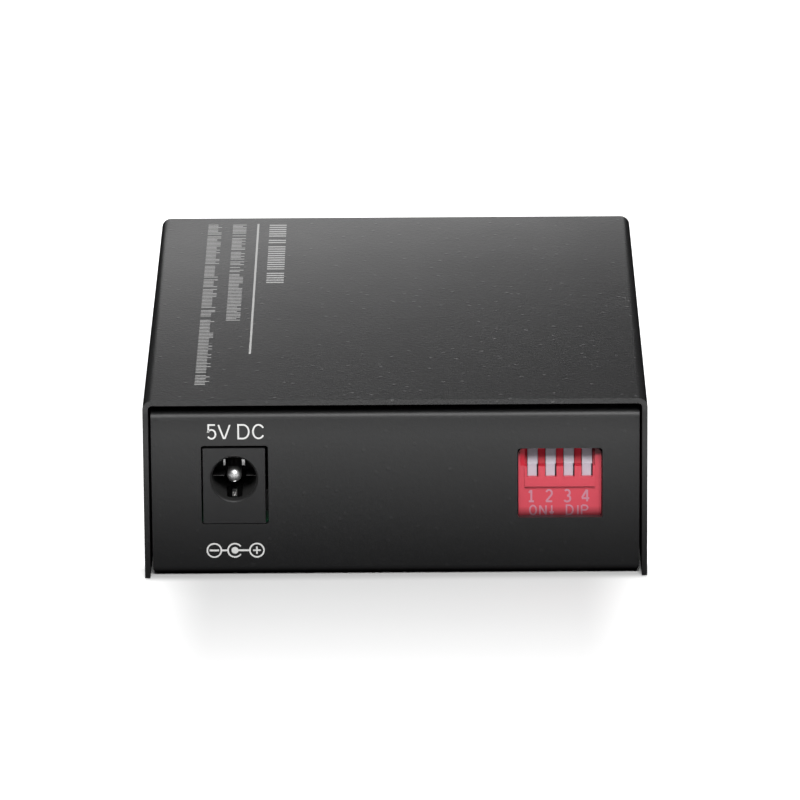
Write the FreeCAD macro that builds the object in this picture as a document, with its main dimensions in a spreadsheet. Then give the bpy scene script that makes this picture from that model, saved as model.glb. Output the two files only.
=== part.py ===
"""Fibre media converter: a folded steel case with a power inlet and a DIP switch at the rear,
and a copper port, status lamps and a pair of bayonet fibre ports at the front.

The origin is the centre of the underside of the base. +Z is up, the rear panel with the power
inlet faces -Y and the panel with the network ports faces +Y. All lengths are in millimetres.
"""
import FreeCAD, Part
import Sketcher
import math
import os
import re

SHEET = "Sizes"
vector = FreeCAD.Vector

doc = FreeCAD.newDocument("MediaConverter")

# ---------------------------------------------------------------------------------------------
# Driving dimensions
# ---------------------------------------------------------------------------------------------

SIZES = {
    # folded cover
    "case_width": 70.5,
    "case_length": 93.5,
    "case_height": 26.0,
    "cover_sheet": 0.75,
    "cover_bend": 1.35,
    "cover_side_gap": 0.35,
    "vent_count": 9,
    "vent_pitch": 4.0,
    "vent_width": 1.6,
    "vent_height": 8.0,
    "vent_middle_up": 12.5,
    # folded base
    "base_sheet": 1.0,
    "base_bend": 1.25,
    "panel_recess": 1.25,
    "panel_top_gap": 1.2,
    "return_flange": 4.0,
    "side_wall_up": 7.0,
    "side_wall_end_gap": 1.5,
    "panel_corner": 1.2,
    "notch_past_fold": 0.25,
    "window_corner": 0.4,
    # countersunk screws through the cover into threads of the side walls
    "cover_screw_radius": 1.5,
    "cover_screw_head": 2.6,
    "cover_screw_length": 4.0,
    "cover_screw_along": 28.0,
    "cover_screw_up": 3.6,
    "screw_clearance": 0.05,
    # circuit board on four standoffs
    "board_thickness": 1.6,
    "board_past_screw": 0.3,
    "board_end_gap": 0.3,
    "board_corner": 1.5,
    "board_headroom": 1.65,
    "standoff_radius": 2.6,
    "standoff_stub_radius": 2.0,
    "standoff_from_edge": 3.3,
    "standoff_rear": 24.0,
    "standoff_gap": 0.4,
    "board_screw_radius": 1.2,
    "board_screw_head": 2.6,
    "board_screw_head_up": 1.8,
    "pin_below_board": 1.2,
    "pin_hole_clearance": 0.12,
    # power inlet
    "jack_across": -22.6,
    "jack_behind_face": 0.05,
    "jack_width": 8.7,
    "jack_height": 11.0,
    "jack_head_depth": 3.4,
    "jack_depth": 14.2,
    "jack_body_radius": 4.0,
    "jack_axis_up": 6.5,
    "jack_bore_radius": 3.15,
    "jack_bore_depth": 9.8,
    "jack_bore_chamfer": 0.25,
    "jack_roof_slot": 2.7,
    "jack_pin_radius": 1.0,
    "jack_pin_recess": 1.2,
    "jack_pin_tip": 0.4,
    "jack_root_width": 2.4,
    "jack_tab_width": 2.4,
    "jack_tab_thickness": 0.7,
    "jack_leaf_width": 1.6,
    "jack_leaf_thickness": 0.3,
    "jack_leaf_start": 1.4,
    "jack_leaf_end": 6.4,
    "jack_leaf_rise": 0.45,
    "jack_side_tab_back": 2.6,
    "jack_side_tab_up": 3.0,
    "jack_channel_width": 2.2,
    "jack_window_side_gap": 0.25,
    "jack_window_far_gap": 0.45,
    "jack_window_top_gap": 0.4,
    "jack_window_foot_gap": 0.1,
    # DIP switch
    "dip_across": 23.05,
    "dip_behind_panel": 0.65,
    "dip_ways": 4,
    "dip_pitch": 2.54,
    "dip_end_wall": 2.02,
    "dip_height": 10.2,
    "dip_depth": 8.2,
    "dip_shoulder": 0.7,
    "dip_comb_proud": 0.35,
    "dip_comb_foot": 4.72,
    "dip_comb_top": 7.74,
    "dip_cheek": 0.9,
    "dip_slot_width": 1.57,
    "dip_slot_foot": 6.11,
    "dip_lip": 0.7,
    "dip_cavity_foot": 3.9,
    "dip_cavity_depth": 5.0,
    "dip_recess_foot_depth": 0.9,
    "dip_recess_top_depth": 1.9,
    "dip_pivot_behind": 3.0,
    "dip_pivot_up": 7.2,
    "dip_trunnion_radius": 0.4,
    "dip_trunnion_length": 0.25,
    "dip_trunnion_clearance": 0.05,
    "dip_lever_side_gap": 0.08,
    "dip_lever_front_gap": 0.06,
    "dip_lever_edge_up": 7.88,
    "dip_lever_foot_up": 5.2,
    "dip_lever_top_up": 9.75,
    "dip_lever_slope": 1.08,
    "dip_lever_rebate": 0.12,
    "dip_lever_tail": 1.1,
    "dip_row_spacing": 7.62,
    "dip_pin_width": 0.5,
    "dip_window_side_gap": 0.12,
    "dip_window_foot": 0.6,
    "dip_window_top": 10.75,
    # copper network port
    "socket_across": -21.5,
    "socket_width": 16.0,
    "socket_height": 13.5,
    "socket_depth": 21.3,
    "socket_proud": 0.2,
    "socket_shell": 0.3,
    "socket_mouth_width": 11.9,
    "socket_mouth_height": 7.0,
    "socket_mouth_foot": 3.4,
    "socket_mouth_depth": 13.0,
    "socket_latch_width": 6.2,
    "socket_latch_height": 1.7,
    "socket_insert_gap": 0.05,
    "socket_window_gap": 0.2,
    "contact_count": 8,
    "contact_pitch": 1.02,
    "contact_width": 0.4,
    "contact_thickness": 0.25,
    "contact_length": 7.0,
    "contact_rise": 1.45,
    "contact_roof_slot": 0.9,
    "contact_set_back": 3.0,
    "contact_drop": 1.6,
    # fibre transceiver with two bayonet barrels
    "fibre_across": 13.6,
    "fibre_spacing": 12.7,
    "fibre_axis_up": 5.6,
    "fibre_housing_width": 25.4,
    "fibre_housing_height": 10.5,
    "fibre_housing_depth": 30.0,
    "fibre_housing_edge": 0.8,
    "fibre_housing_step": 0.8,
    "fibre_nose_depth": 9.0,
    "fibre_collar_radius": 4.7,
    "fibre_collar_proud": 2.0,
    "fibre_barrel_radius": 4.0,
    "fibre_barrel_length": 8.5,
    "fibre_barrel_bore": 3.3,
    "fibre_lug_width": 1.8,
    "fibre_lug_proud": 0.9,
    "fibre_lug_from_mouth": 3.3,
    "fibre_keyway_width": 1.1,
    "fibre_keyway_depth": 3.0,
    "fibre_sleeve_radius": 1.6,
    "fibre_sleeve_bore": 1.255,
    "fibre_sleeve_set_back": 2.5,
    "fibre_hole_gap": 0.2,
    "fibre_pin_count": 9,
    "fibre_pin_pitch": 2.54,
    "fibre_pin_width": 0.5,
    # status lamps
    "lamp_across": -6.0,
    "lamp_columns": 2,
    "lamp_rows": 3,
    "lamp_column_pitch": 5.0,
    "lamp_row_pitch": 4.0,
    "lamp_first_up": 3.9,
    "lamp_width": 3.0,
    "lamp_height": 2.0,
    "lamp_length": 5.3,
    "lamp_proud": 0.9,
    "lamp_seat_gap": 0.05,
    "lamp_holder_proud": 0.2,
    "lamp_holder_depth": 7.5,
    "lamp_holder_wall": 0.9,
    "lamp_holder_foot": 1.4,
    "lamp_window_gap": 0.15,
    # parts soldered on the board
    "chip_side": 14.0,
    "chip_height": 1.4,
    "chip_along": -4.0,
    "chip_standoff": 0.1,
    "chip_leads_per_side": 6,
    "chip_lead_pitch": 2.0,
    "chip_lead_width": 0.8,
    "chip_lead_height": 0.5,
    "chip_lead_reach": 1.0,
    "magnetics_width": 15.0,
    "magnetics_length": 8.5,
    "magnetics_height": 5.8,
    "magnetics_off_socket": 1.0,
    "crystal_length": 11.0,
    "crystal_width": 4.6,
    "crystal_height": 3.4,
    "crystal_corner": 1.6,
    "crystal_across": 3.0,
    "crystal_along": -20.0,
    "capacitor_radius": 3.15,
    "capacitor_height": 7.7,
    "capacitor_base_side": 6.6,
    "capacitor_base_up": 1.0,
    "capacitor_off_jack": 9.0,
    "capacitor_along": -34.0,
    "inductor_side": 7.0,
    "inductor_height": 4.0,
    "inductor_corner": 1.4,
    "inductor_across": -17.0,
    "inductor_along": -20.0,
    "regulator_width": 3.9,
    "regulator_length": 4.9,
    "regulator_height": 1.5,
    "regulator_across": -11.0,
    "regulator_along": -21.0,
}

sheet = doc.addObject("Spreadsheet::Sheet", SHEET)
for row, (alias, size) in enumerate(SIZES.items(), 1):
    sheet.set("A%d" % row, alias.replace("_", " "))
    sheet.set("B%d" % row, str(size))
    sheet.setAlias("B%d" % row, alias)
doc.recompute()

# Places that several pieces share, as expressions of the sheet's values.
REAR_FACE = "(panel_recess - case_length / 2)"
FRONT_FACE = "(case_length / 2 - panel_recess)"
PANEL_TOP = "(case_height - cover_sheet - panel_top_gap)"
BASE_HALF = "(case_width / 2 - cover_sheet - cover_side_gap)"
LAMP_HOLDER_TOP = ("(lamp_first_up + lamp_row_pitch * (lamp_rows - 1)"
                   " + lamp_height / 2 + lamp_holder_wall)")
# The tallest piece on the board, the lamp holder, stands clear under the panel's flange.
BOARD_TOP = "(%s - base_sheet - board_headroom - %s)" % (PANEL_TOP, LAMP_HOLDER_TOP)
BOARD_FOOT = "(%s - board_thickness)" % BOARD_TOP
BOARD_HALF = "(case_width / 2 - cover_screw_length - board_past_screw)"
BOARD_END = "(case_length / 2 - panel_recess - base_sheet - board_end_gap)"
PIN_LENGTH = "(board_thickness + pin_below_board)"
JACK_FACE = "(%s + jack_behind_face)" % REAR_FACE
JACK_AXIS = "(%s + jack_axis_up)" % BOARD_TOP
DIP_FACE = "(%s + base_sheet + dip_behind_panel)" % REAR_FACE
DIP_WIDTH = "(dip_pitch * (dip_ways - 1) + 2 * dip_end_wall)"
DIP_LEVER_FRONT = "(dip_lip - dip_comb_proud + dip_lever_front_gap)"
SOCKET_FACE = "(%s + socket_proud)" % FRONT_FACE
FIBRE_HOUSING_FACE = BOARD_END
FIBRE_AXIS = "(%s + fibre_axis_up)" % BOARD_TOP
LAMP_FIRST = "(%s + lamp_first_up)" % BOARD_TOP
LAMP_TIP = "(%s + lamp_proud)" % FRONT_FACE
LAMP_HOLDER_FACE = "(%s + lamp_holder_proud)" % FRONT_FACE
LAMP_HOLDER_HALF = "(lamp_column_pitch * (lamp_columns - 1) / 2 + lamp_width / 2 + lamp_holder_wall)"
STANDOFF_ACROSS = "(%s - standoff_from_edge)" % BOARD_HALF
# The front standoffs stand just behind the fibre transceiver.
STANDOFF_FRONT = ("(%s - fibre_housing_depth - board_screw_head - standoff_gap)"
                  % FIBRE_HOUSING_FACE)

STANDOFF_PLACES = [(side + STANDOFF_ACROSS, along) for along in ("-standoff_rear", STANDOFF_FRONT)
                   for side in ("-", "")]
FIBRE_PLACES = ["(fibre_across - fibre_spacing / 2)", "(fibre_across + fibre_spacing / 2)"]
DIP_PIN_PLACES = [
    ("(dip_across + dip_pitch * (%d - (dip_ways - 1) / 2))" % way,
     "(%s + dip_depth / 2 + %s dip_row_spacing / 2)" % (DIP_FACE, side))
    for side in ("-", "") for way in range(SIZES["dip_ways"])]
FIBRE_PIN_PLACES = [
    ("(fibre_across + fibre_pin_pitch * (%d - (fibre_pin_count - 1) / 2))" % pin,
     "(%s - fibre_housing_depth + fibre_pin_pitch)" % FIBRE_HOUSING_FACE)
    for pin in range(SIZES["fibre_pin_count"])]
CONTACT_WAYS = ["(contact_pitch * (%d - (contact_count - 1) / 2))" % way
                for way in range(SIZES["contact_count"])]
DIP_WAYS = ["(dip_pitch * (%d - (dip_ways - 1) / 2))" % way for way in range(SIZES["dip_ways"])]
# Each tab of the power inlet as its reach across and its reach along.
JACK_REAR_TAB = (
    ("(jack_across - jack_tab_width / 2)", "(jack_across + jack_tab_width / 2)"),
    ("(%s + jack_depth)" % JACK_FACE, "(%s + jack_depth + jack_tab_thickness)" % JACK_FACE))
JACK_LEAF_TAB = (
    ("(jack_across - jack_leaf_width / 2)", "(jack_across + jack_leaf_width / 2)"),
    ("(%s + jack_leaf_end)" % JACK_FACE,
     "(%s + jack_leaf_end + jack_leaf_thickness)" % JACK_FACE))
JACK_SIDE_TAB = (
    ("(jack_across + jack_body_radius)",
     "(jack_across + jack_body_radius + jack_tab_thickness)"),
    ("(%s + jack_head_depth + jack_side_tab_back)" % JACK_FACE,
     "(%s + jack_head_depth + jack_side_tab_back + jack_tab_width)" % JACK_FACE))
JACK_TABS = [JACK_REAR_TAB, JACK_LEAF_TAB, JACK_SIDE_TAB]
LAMP_PLACES = [
    ("(lamp_across + lamp_column_pitch * (%d - (lamp_columns - 1) / 2))" % column,
     "(%s + lamp_row_pitch * %d)" % (LAMP_FIRST, row))
    for column in range(SIZES["lamp_columns"]) for row in range(SIZES["lamp_rows"])]


# ---------------------------------------------------------------------------------------------
# Small helpers
# ---------------------------------------------------------------------------------------------

def full(expression):
    """The expression with the sheet's name before each of its values."""
    def spell(word):
        return SHEET + "." + word.group() if word.group() in SIZES else word.group()
    return re.sub(r"[a-z][a-z_]*", spell, str(expression))


def bind(thing, field, expression):
    thing.setExpression(field, full(expression))


def place(thing, across="0", along="0", up="0", axis=None, angle=0):
    """Bind where a thing stands, after a turn about the given axis."""
    if axis:
        thing.Placement = FreeCAD.Placement(vector(), FreeCAD.Rotation(vector(*axis), angle))
    for field, expression in zip("xyz", (across, along, up)):
        bind(thing, "Placement.Base." + field, expression)
    return thing


def new_body(name, across="0", along="0", up="0"):
    body = doc.addObject("PartDesign::Body", name)
    body.Label = name
    return place(body, across, along, up)


def sketch_on(body, role, name, offset="0"):
    """An empty sketch on one of the body's origin planes, moved along the plane's normal."""
    sketch = body.newObject("Sketcher::SketchObject", name)
    plane = next(f for f in body.Origin.OriginFeatures if f.Role == role)
    sketch.AttachmentSupport = [(plane, "")]
    sketch.MapMode = "FlatFace"
    bind(sketch, "AttachmentOffset.Base.z", offset)
    return sketch


def tie(sketch, kind, geometry, point, expression):
    """A distance from the sketch's origin to a point, bound to an expression."""
    now = sketch.getPoint(geometry, point)
    distance = now.x if kind == "DistanceX" else now.y
    number = sketch.addConstraint(Sketcher.Constraint(kind, -1, 1, geometry, point, distance))
    bind(sketch, "Constraints[%d]" % number, expression)


def outline(sketch, corners):
    """A closed outline of straight edges through corners given as pairs of expressions."""
    count = len(corners)
    first = sketch.GeometryCount
    ring = [vector(10 * math.cos(2 * math.pi * n / count), 10 * math.sin(2 * math.pi * n / count), 0)
            for n in range(count)]
    for n in range(count):
        sketch.addGeometry(Part.LineSegment(ring[n], ring[(n + 1) % count]), False)
    for n, (right, up) in enumerate(corners):
        sketch.addConstraint(Sketcher.Constraint("Coincident", first + n, 1,
                                                 first + (n - 1) % count, 2))
        tie(sketch, "DistanceX", first + n, 1, right)
        tie(sketch, "DistanceY", first + n, 1, up)
    return sketch


def rectangle(sketch, left, right, low, high):
    return outline(sketch, [(left, low), (right, low), (right, high), (left, high)])


def hexagon(sketch, right, up, radius):
    """A hexagon with a corner to the right, from its middle and the radius of its corners."""
    rise = "%s * sqrt(3) / 2" % radius
    return outline(sketch, [
        ("%s + %s" % (right, radius), up), ("%s + %s / 2" % (right, radius), "%s + %s" % (up, rise)),
        ("%s - %s / 2" % (right, radius), "%s + %s" % (up, rise)), ("%s - %s" % (right, radius), up),
        ("%s - %s / 2" % (right, radius), "%s - %s" % (up, rise)),
        ("%s + %s / 2" % (right, radius), "%s - %s" % (up, rise))])


def square(sketch, right, up, half):
    return rectangle(sketch, "%s - (%s)" % (right, half), "%s + %s" % (right, half),
                     "%s - (%s)" % (up, half), "%s + %s" % (up, half))


def half_round(sketch, right, up, radius):
    """The lower half of a circle, closed by a straight edge through its centre."""
    left, low, far = vector(-1, 0, 0), vector(0, -1, 0), vector(1, 0, 0)
    arc = sketch.addGeometry(Part.Arc(left, low, far), False)
    sketch.addGeometry(Part.LineSegment(far, left), False)
    sketch.addConstraint(Sketcher.Constraint("Coincident", arc, 2, arc + 1, 1))
    sketch.addConstraint(Sketcher.Constraint("Coincident", arc + 1, 2, arc, 1))
    sketch.addConstraint(Sketcher.Constraint("Horizontal", arc, 1, arc, 3))
    sketch.addConstraint(Sketcher.Constraint("Horizontal", arc, 2, arc, 3))
    tie(sketch, "DistanceX", arc, 3, right)
    tie(sketch, "DistanceY", arc, 3, up)
    size = sketch.addConstraint(Sketcher.Constraint("Radius", arc, 1.0))
    bind(sketch, "Constraints[%d]" % size, radius)
    return sketch


def circle(sketch, right, up, radius):
    number = sketch.addGeometry(Part.Circle(vector(), vector(0, 0, 1), 1), False)
    tie(sketch, "DistanceX", number, 3, right)
    tie(sketch, "DistanceY", number, 3, up)
    size = sketch.addConstraint(Sketcher.Constraint("Radius", number, 1.0))
    bind(sketch, "Constraints[%d]" % size, radius)
    return sketch


def corner_wedge(sketch, side, edge, radius):
    """What a rounding takes off a lower corner: two straight edges and an arc between them."""
    flip = -1 if side == "-" else 1
    tip, low, high = vector(2 * flip, 0, 0), vector(flip, 0, 0), vector(2 * flip, 1, 0)
    first = sketch.addGeometry(Part.LineSegment(low, tip), False)
    sketch.addGeometry(Part.LineSegment(tip, high), False)
    middle = vector(flip * (1 + math.sqrt(0.5)), 1 - math.sqrt(0.5), 0)
    sketch.addGeometry(Part.Arc(low, middle, high), False)
    ends = (1, 2) if flip > 0 else (2, 1)
    sketch.addConstraint(Sketcher.Constraint("Coincident", first, 2, first + 1, 1))
    sketch.addConstraint(Sketcher.Constraint("Coincident", first, 1, first + 2, ends[0]))
    sketch.addConstraint(Sketcher.Constraint("Coincident", first + 1, 2, first + 2, ends[1]))
    tie(sketch, "DistanceX", first, 2, side + "(%s)" % edge)
    tie(sketch, "DistanceY", first, 2, "0")
    tie(sketch, "DistanceX", first + 2, 3, side + "(%s - %s)" % (edge, radius))
    tie(sketch, "DistanceY", first + 2, 3, radius)
    tie(sketch, "DistanceY", first, 1, "0")
    sketch.addConstraint(Sketcher.Constraint("Vertical", first, 1, first + 2, 3))
    sketch.addConstraint(Sketcher.Constraint("Horizontal", first + 1, 2, first + 2, 3))


def pad(body, sketch, length, centred=False, reverse=False):
    feature = body.newObject("PartDesign::Pad", sketch.Name + "_pad")
    feature.Profile = sketch
    feature.SideType = "Symmetric" if centred else "One side"
    feature.Reversed = reverse
    bind(feature, "Length", length)
    sketch.Visibility = False
    return feature


def pocket(body, sketch, depth=None, centred=False, reverse=False):
    """Cut the sketch's outline to a depth, or right through where no depth is given."""
    doc.recompute()
    before = body.Shape.Volume
    feature = body.newObject("PartDesign::Pocket", sketch.Name + "_cut")
    feature.Profile = sketch
    feature.SideType = "Symmetric" if centred else "One side"
    feature.Reversed = reverse
    if depth is None:
        feature.Type = "ThroughAll"
    else:
        bind(feature, "Length", depth)
    doc.recompute()
    if body.Shape.Volume >= before:
        raise SystemExit("%s cuts nothing" % feature.Name)
    return feature


def corner_edges(feature, sketch, corners):
    """Names of the feature's straight edges that stand on the given corners of a sketch."""
    normal = sketch.Placement.Rotation.multVec(vector(0, 0, 1))
    names = []
    for corner in corners:
        foot = sketch.Placement.multVec(sketch.Geometry[corner].StartPoint)
        for number, edge in enumerate(feature.Shape.Edges, 1):
            if edge.Curve.TypeId != "Part::GeomLine":
                continue
            if edge.Curve.Direction.cross(normal).Length > 1e-6:
                continue
            if (edge.Vertexes[0].Point - foot).cross(normal).Length < 1e-5:
                names.append("Edge%d" % number)
    return names


def circle_edges(feature, radius, along):
    """Names of the feature's round edges of a sheet's radius at a distance along Y."""
    return ["Edge%d" % number for number, edge in enumerate(feature.Shape.Edges, 1)
            if edge.Curve.TypeId == "Part::GeomCircle"
            and abs(edge.Curve.Radius - sheet.get(radius)) < 1e-6
            and abs(edge.Curve.Center.y - along) < 1e-6]


def dress(body, kind, name, edges, field, size):
    """Round or chamfer edges of the body's last feature."""
    if not edges:
        raise SystemExit("%s finds no edge" % name)
    base = body.Tip
    feature = body.newObject("PartDesign::" + kind, name)
    feature.Base = (base, edges)
    bind(feature, field, size)
    doc.recompute()
    return feature


def round_corners(body, sketch, corners, radius, name):
    doc.recompute()
    edges = corner_edges(body.Tip, sketch, corners)
    return dress(body, "Fillet", name, edges, "Radius", radius)


def slant_corners(body, sketch, corners, size, name):
    doc.recompute()
    edges = corner_edges(body.Tip, sketch, corners)
    return dress(body, "Chamfer", name, edges, "Size", size)


def mirror(body, originals, role, name):
    """Repeat features on the other side of one of the body's origin planes."""
    feature = body.newObject("PartDesign::Mirrored", name)
    feature.Originals = originals
    plane = next(f for f in body.Origin.OriginFeatures if f.Role == role)
    feature.MirrorPlane = (plane, [""])
    body.Tip = feature
    doc.recompute()
    return feature


def block(name, across, along, up):
    """A box between two expressions in each direction."""
    box = doc.addObject("Part::Box", name)
    for field, (low, high) in zip(("Length", "Width", "Height"), (across, along, up)):
        bind(box, field, "(%s) - (%s)" % (high, low))
    return place(box, across[0], along[0], up[0])


def rod(name, radius, length, across, along, up, axis=None, angle=0):
    """A cylinder that starts at a point and runs up, or along the turned axis."""
    cylinder = doc.addObject("Part::Cylinder", name)
    bind(cylinder, "Radius", radius)
    bind(cylinder, "Height", length)
    return place(cylinder, across, along, up, axis, angle)


def hexagonal_rod(name, radius, length, across, along, up):
    """An upright hexagonal bar, from the radius of its corners."""
    prism = doc.addObject("Part::Prism", name)
    prism.Polygon = 6
    bind(prism, "Circumradius", radius)
    bind(prism, "Height", length)
    return place(prism, across, along, up)


def cone(name, low_radius, high_radius, length, across, along, up, axis=None, angle=0):
    frustum = doc.addObject("Part::Cone", name)
    bind(frustum, "Radius1", low_radius)
    bind(frustum, "Radius2", high_radius)
    bind(frustum, "Height", length)
    return place(frustum, across, along, up, axis, angle)


def fuse(name, pieces):
    joined = doc.addObject("Part::MultiFuse", name)
    joined.Shapes = pieces
    return joined


def cut(name, stock, tool):
    rest = doc.addObject("Part::Cut", name)
    rest.Base = stock
    rest.Tool = tool
    return rest


def group(name, pieces):
    """Equal pieces that stay separate solids of one sub-part."""
    together = doc.addObject("Part::Compound", name)
    together.Links = pieces
    return together


BACKWARD = ((1, 0, 0), -90)   # turns +Z to +Y
RIGHTWARD = ((0, 1, 0), 90)   # turns +Z to +X
LEFTWARD = ((0, 1, 0), -90)   # turns +Z to -X


# ---------------------------------------------------------------------------------------------
# Base: one sheet folded up into both panels and two low side walls
# ---------------------------------------------------------------------------------------------

def make_base():
    body = new_body("base_chassis")

    # Floor and both panels in side view, each panel with a flange turned in along its top.
    fold = sketch_on(body, "YZ_Plane", "base_fold")
    low = "base_sheet"
    top = PANEL_TOP
    under = PANEL_TOP + " - base_sheet"
    rear, front = REAR_FACE, FRONT_FACE
    outline(fold, [
        (rear, "0"), (front, "0"), (front, top), (front + " - return_flange", top),
        (front + " - return_flange", under), (front + " - base_sheet", under),
        (front + " - base_sheet", low), (rear + " + base_sheet", low),
        (rear + " + base_sheet", under), (rear + " + return_flange", under),
        (rear + " + return_flange", top), (rear, top)])
    pad(body, fold, "2 * " + BASE_HALF, centred=True)

    # The side wall stands inside the cover, with an open corner before each panel.
    wall = sketch_on(body, "YZ_Plane", "base_wall", BASE_HALF)
    end = FRONT_FACE + " - base_sheet - side_wall_end_gap"
    rectangle(wall, "-(%s)" % end, end, "0", "side_wall_up")
    wall_pad = pad(body, wall, "base_sheet", reverse=True)

    thread = sketch_on(body, "YZ_Plane", "base_thread", BASE_HALF)
    for side in ("-", ""):
        circle(thread, side + "cover_screw_along", "cover_screw_up", "cover_screw_radius")
    threads = pocket(body, thread, "base_sheet")
    mirror(body, [wall_pad, threads], "YZ_Plane", "base_other_wall")

    # The sheet is notched at its four corners, so that panels and walls fold apart.
    notch = sketch_on(body, "XY_Plane", "base_notch")
    near = "(%s - base_bend - notch_past_fold)" % FRONT_FACE
    for side in ("-", ""):
        for end in ("-", ""):
            rectangle(notch, side + "(" + BASE_HALF + " - base_bend)", side + "(case_width / 2)",
                      end + near, end + "(%s - base_sheet - side_wall_end_gap)" % FRONT_FACE)
    pocket(body, notch, "side_wall_up", reverse=True)

    # Folds: the sheet's outer radius outside, less its thickness inside.
    round_corners(body, fold, [0, 1, 2, 11], "base_bend", "base_panel_folds")
    round_corners(body, fold, [5, 6, 7, 8], "base_bend - base_sheet", "base_inner_folds")
    dress(body, "Fillet", "base_wall_folds", wall_feet(body.Tip), "Radius", "base_bend")

    # The panels' lower corners are rounded as far in as the notches.
    ends = sketch_on(body, "XZ_Plane", "base_panel_ends", "-(%s)" % REAR_FACE)
    for side in ("-", ""):
        corner_wedge(ends, side, BASE_HALF, "panel_corner")
    rounded = pocket(body, ends, "base_bend + notch_past_fold")
    mirror(body, [rounded], "XZ_Plane", "base_front_panel_ends")

    # Rear panel: windows for the power inlet and the DIP switch.
    window = sketch_on(body, "XZ_Plane", "base_jack_window", "-(%s)" % REAR_FACE)
    rectangle(window, "jack_across - jack_width / 2 - jack_window_side_gap",
              "jack_across + jack_width / 2 + jack_window_far_gap",
              BOARD_TOP + " - jack_window_foot_gap",
              BOARD_TOP + " + jack_height + jack_window_top_gap")
    pocket(body, window, "base_sheet")
    round_corners(body, window, range(4), "window_corner", "jack_window_corners")
    window = sketch_on(body, "XZ_Plane", "base_dip_window", "-(%s)" % REAR_FACE)
    half = "(%s / 2 + dip_window_side_gap)" % DIP_WIDTH
    rectangle(window, "dip_across - " + half, "dip_across + " + half,
              BOARD_TOP + " + dip_window_foot", BOARD_TOP + " + dip_window_top")
    pocket(body, window, "base_sheet")
    round_corners(body, window, range(4), "window_corner", "dip_window_corners")

    # Front panel: copper socket, fibre barrels and status lamps.
    window = sketch_on(body, "XZ_Plane", "base_port_windows", "-(%s)" % FRONT_FACE)
    half = "(socket_width / 2 + socket_window_gap)"
    rectangle(window, "socket_across - " + half, "socket_across + " + half,
              BOARD_TOP + " - socket_window_gap",
              BOARD_TOP + " + socket_height + socket_window_gap")
    half = "(%s + lamp_window_gap)" % LAMP_HOLDER_HALF
    rectangle(window, "lamp_across - " + half, "lamp_across + " + half,
              "%s + lamp_holder_foot - lamp_window_gap" % BOARD_TOP,
              "%s + %s + lamp_window_gap" % (BOARD_TOP, LAMP_HOLDER_TOP))
    for across in FIBRE_PLACES:
        circle(window, across, FIBRE_AXIS, "fibre_collar_radius + fibre_hole_gap")
    pocket(body, window, "base_sheet", reverse=True)

    # Floor: holes that take the stubs of the standoffs.
    stubs = sketch_on(body, "XY_Plane", "base_stub_holes")
    for across, along in STANDOFF_PLACES:
        hexagon(stubs, across, along, "standoff_stub_radius")
    pocket(body, stubs, "base_sheet", reverse=True)
    return body


def wall_feet(feature):
    """Names of the two long edges along the underside of the side walls."""
    half = max(corner.X for corner in feature.Shape.Vertexes)
    feet = []
    for number, edge in enumerate(feature.Shape.Edges, 1):
        if all(abs(end.Z) < 1e-5 and half - abs(end.X) < 1e-5 for end in edge.Vertexes):
            feet.append((edge.Length, "Edge%d" % number))
    return [name for length, name in sorted(feet)[-2:]]


# ---------------------------------------------------------------------------------------------
# Cover: one sheet folded down over both sides, with vents and countersunk screw holes
# ---------------------------------------------------------------------------------------------

def make_cover():
    body = new_body("top_cover")
    fold = sketch_on(body, "XZ_Plane", "cover_fold")
    side, top = "case_width / 2", "case_height"
    inside, under = "case_width / 2 - cover_sheet", "case_height - cover_sheet"
    outline(fold, [
        ("-(%s)" % side, "0"), ("-(%s)" % inside, "0"), ("-(%s)" % inside, under),
        (inside, under), (inside, "0"), (side, "0"), (side, top), ("-(%s)" % side, top)])
    pad(body, fold, "case_length", centred=True)
    round_corners(body, fold, [6, 7], "cover_bend", "cover_outer_folds")
    round_corners(body, fold, [2, 3], "cover_bend - cover_sheet", "cover_inner_folds")

    # A row of upright vents through both sides.
    vent = sketch_on(body, "YZ_Plane", "cover_vent", side)
    start = "(-vent_pitch * (vent_count - 1) / 2)"
    rectangle(vent, start + " - vent_width / 2", start + " + vent_width / 2",
              "vent_middle_up - vent_height / 2", "vent_middle_up + vent_height / 2")
    first = pocket(body, vent)
    row = body.newObject("PartDesign::LinearPattern", "cover_vent_row")
    row.Originals = [first]
    row.Direction = (vent, ["H_Axis"])
    bind(row, "Length", "vent_pitch * (vent_count - 1)")
    bind(row, "Occurrences", "vent_count")
    body.Tip = row
    doc.recompute()

    # Screw holes countersunk to the inner face of the side.
    hole = sketch_on(body, "YZ_Plane", "cover_hole", side)
    for along in ("-cover_screw_along", "cover_screw_along"):
        circle(hole, along, "cover_screw_up", "cover_screw_head + screw_clearance")
    sink = pocket(body, hole, "cover_sheet")
    sink.TaperAngle = -45
    doc.recompute()
    mirror(body, [sink], "YZ_Plane", "cover_other_holes")
    return body


def make_cover_screws():
    """Four flat-head screws, flush with the cover and threaded into the side walls."""
    screws = []
    for side, (axis, angle) in (("-", RIGHTWARD), ("", LEFTWARD)):
        for along in ("-cover_screw_along", "cover_screw_along"):
            tag = "%s_%s" % ("left" if side else "right", "rear" if along[0] == "-" else "front")
            out = "%s(case_width / 2)" % side
            head = cone("screw_head_" + tag, "cover_screw_head",
                        "cover_screw_radius - screw_clearance",
                        "cover_screw_head - cover_screw_radius + screw_clearance",
                        out, along, "cover_screw_up", axis, angle)
            shank = rod("screw_shank_" + tag, "cover_screw_radius - screw_clearance",
                        "cover_screw_length", out, along, "cover_screw_up", axis, angle)
            screws.append(fuse("cover_screw_" + tag, [head, shank]))
    return group("cover_screws", screws)


# ---------------------------------------------------------------------------------------------
# Circuit board, its standoffs and screws
# ---------------------------------------------------------------------------------------------

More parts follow.
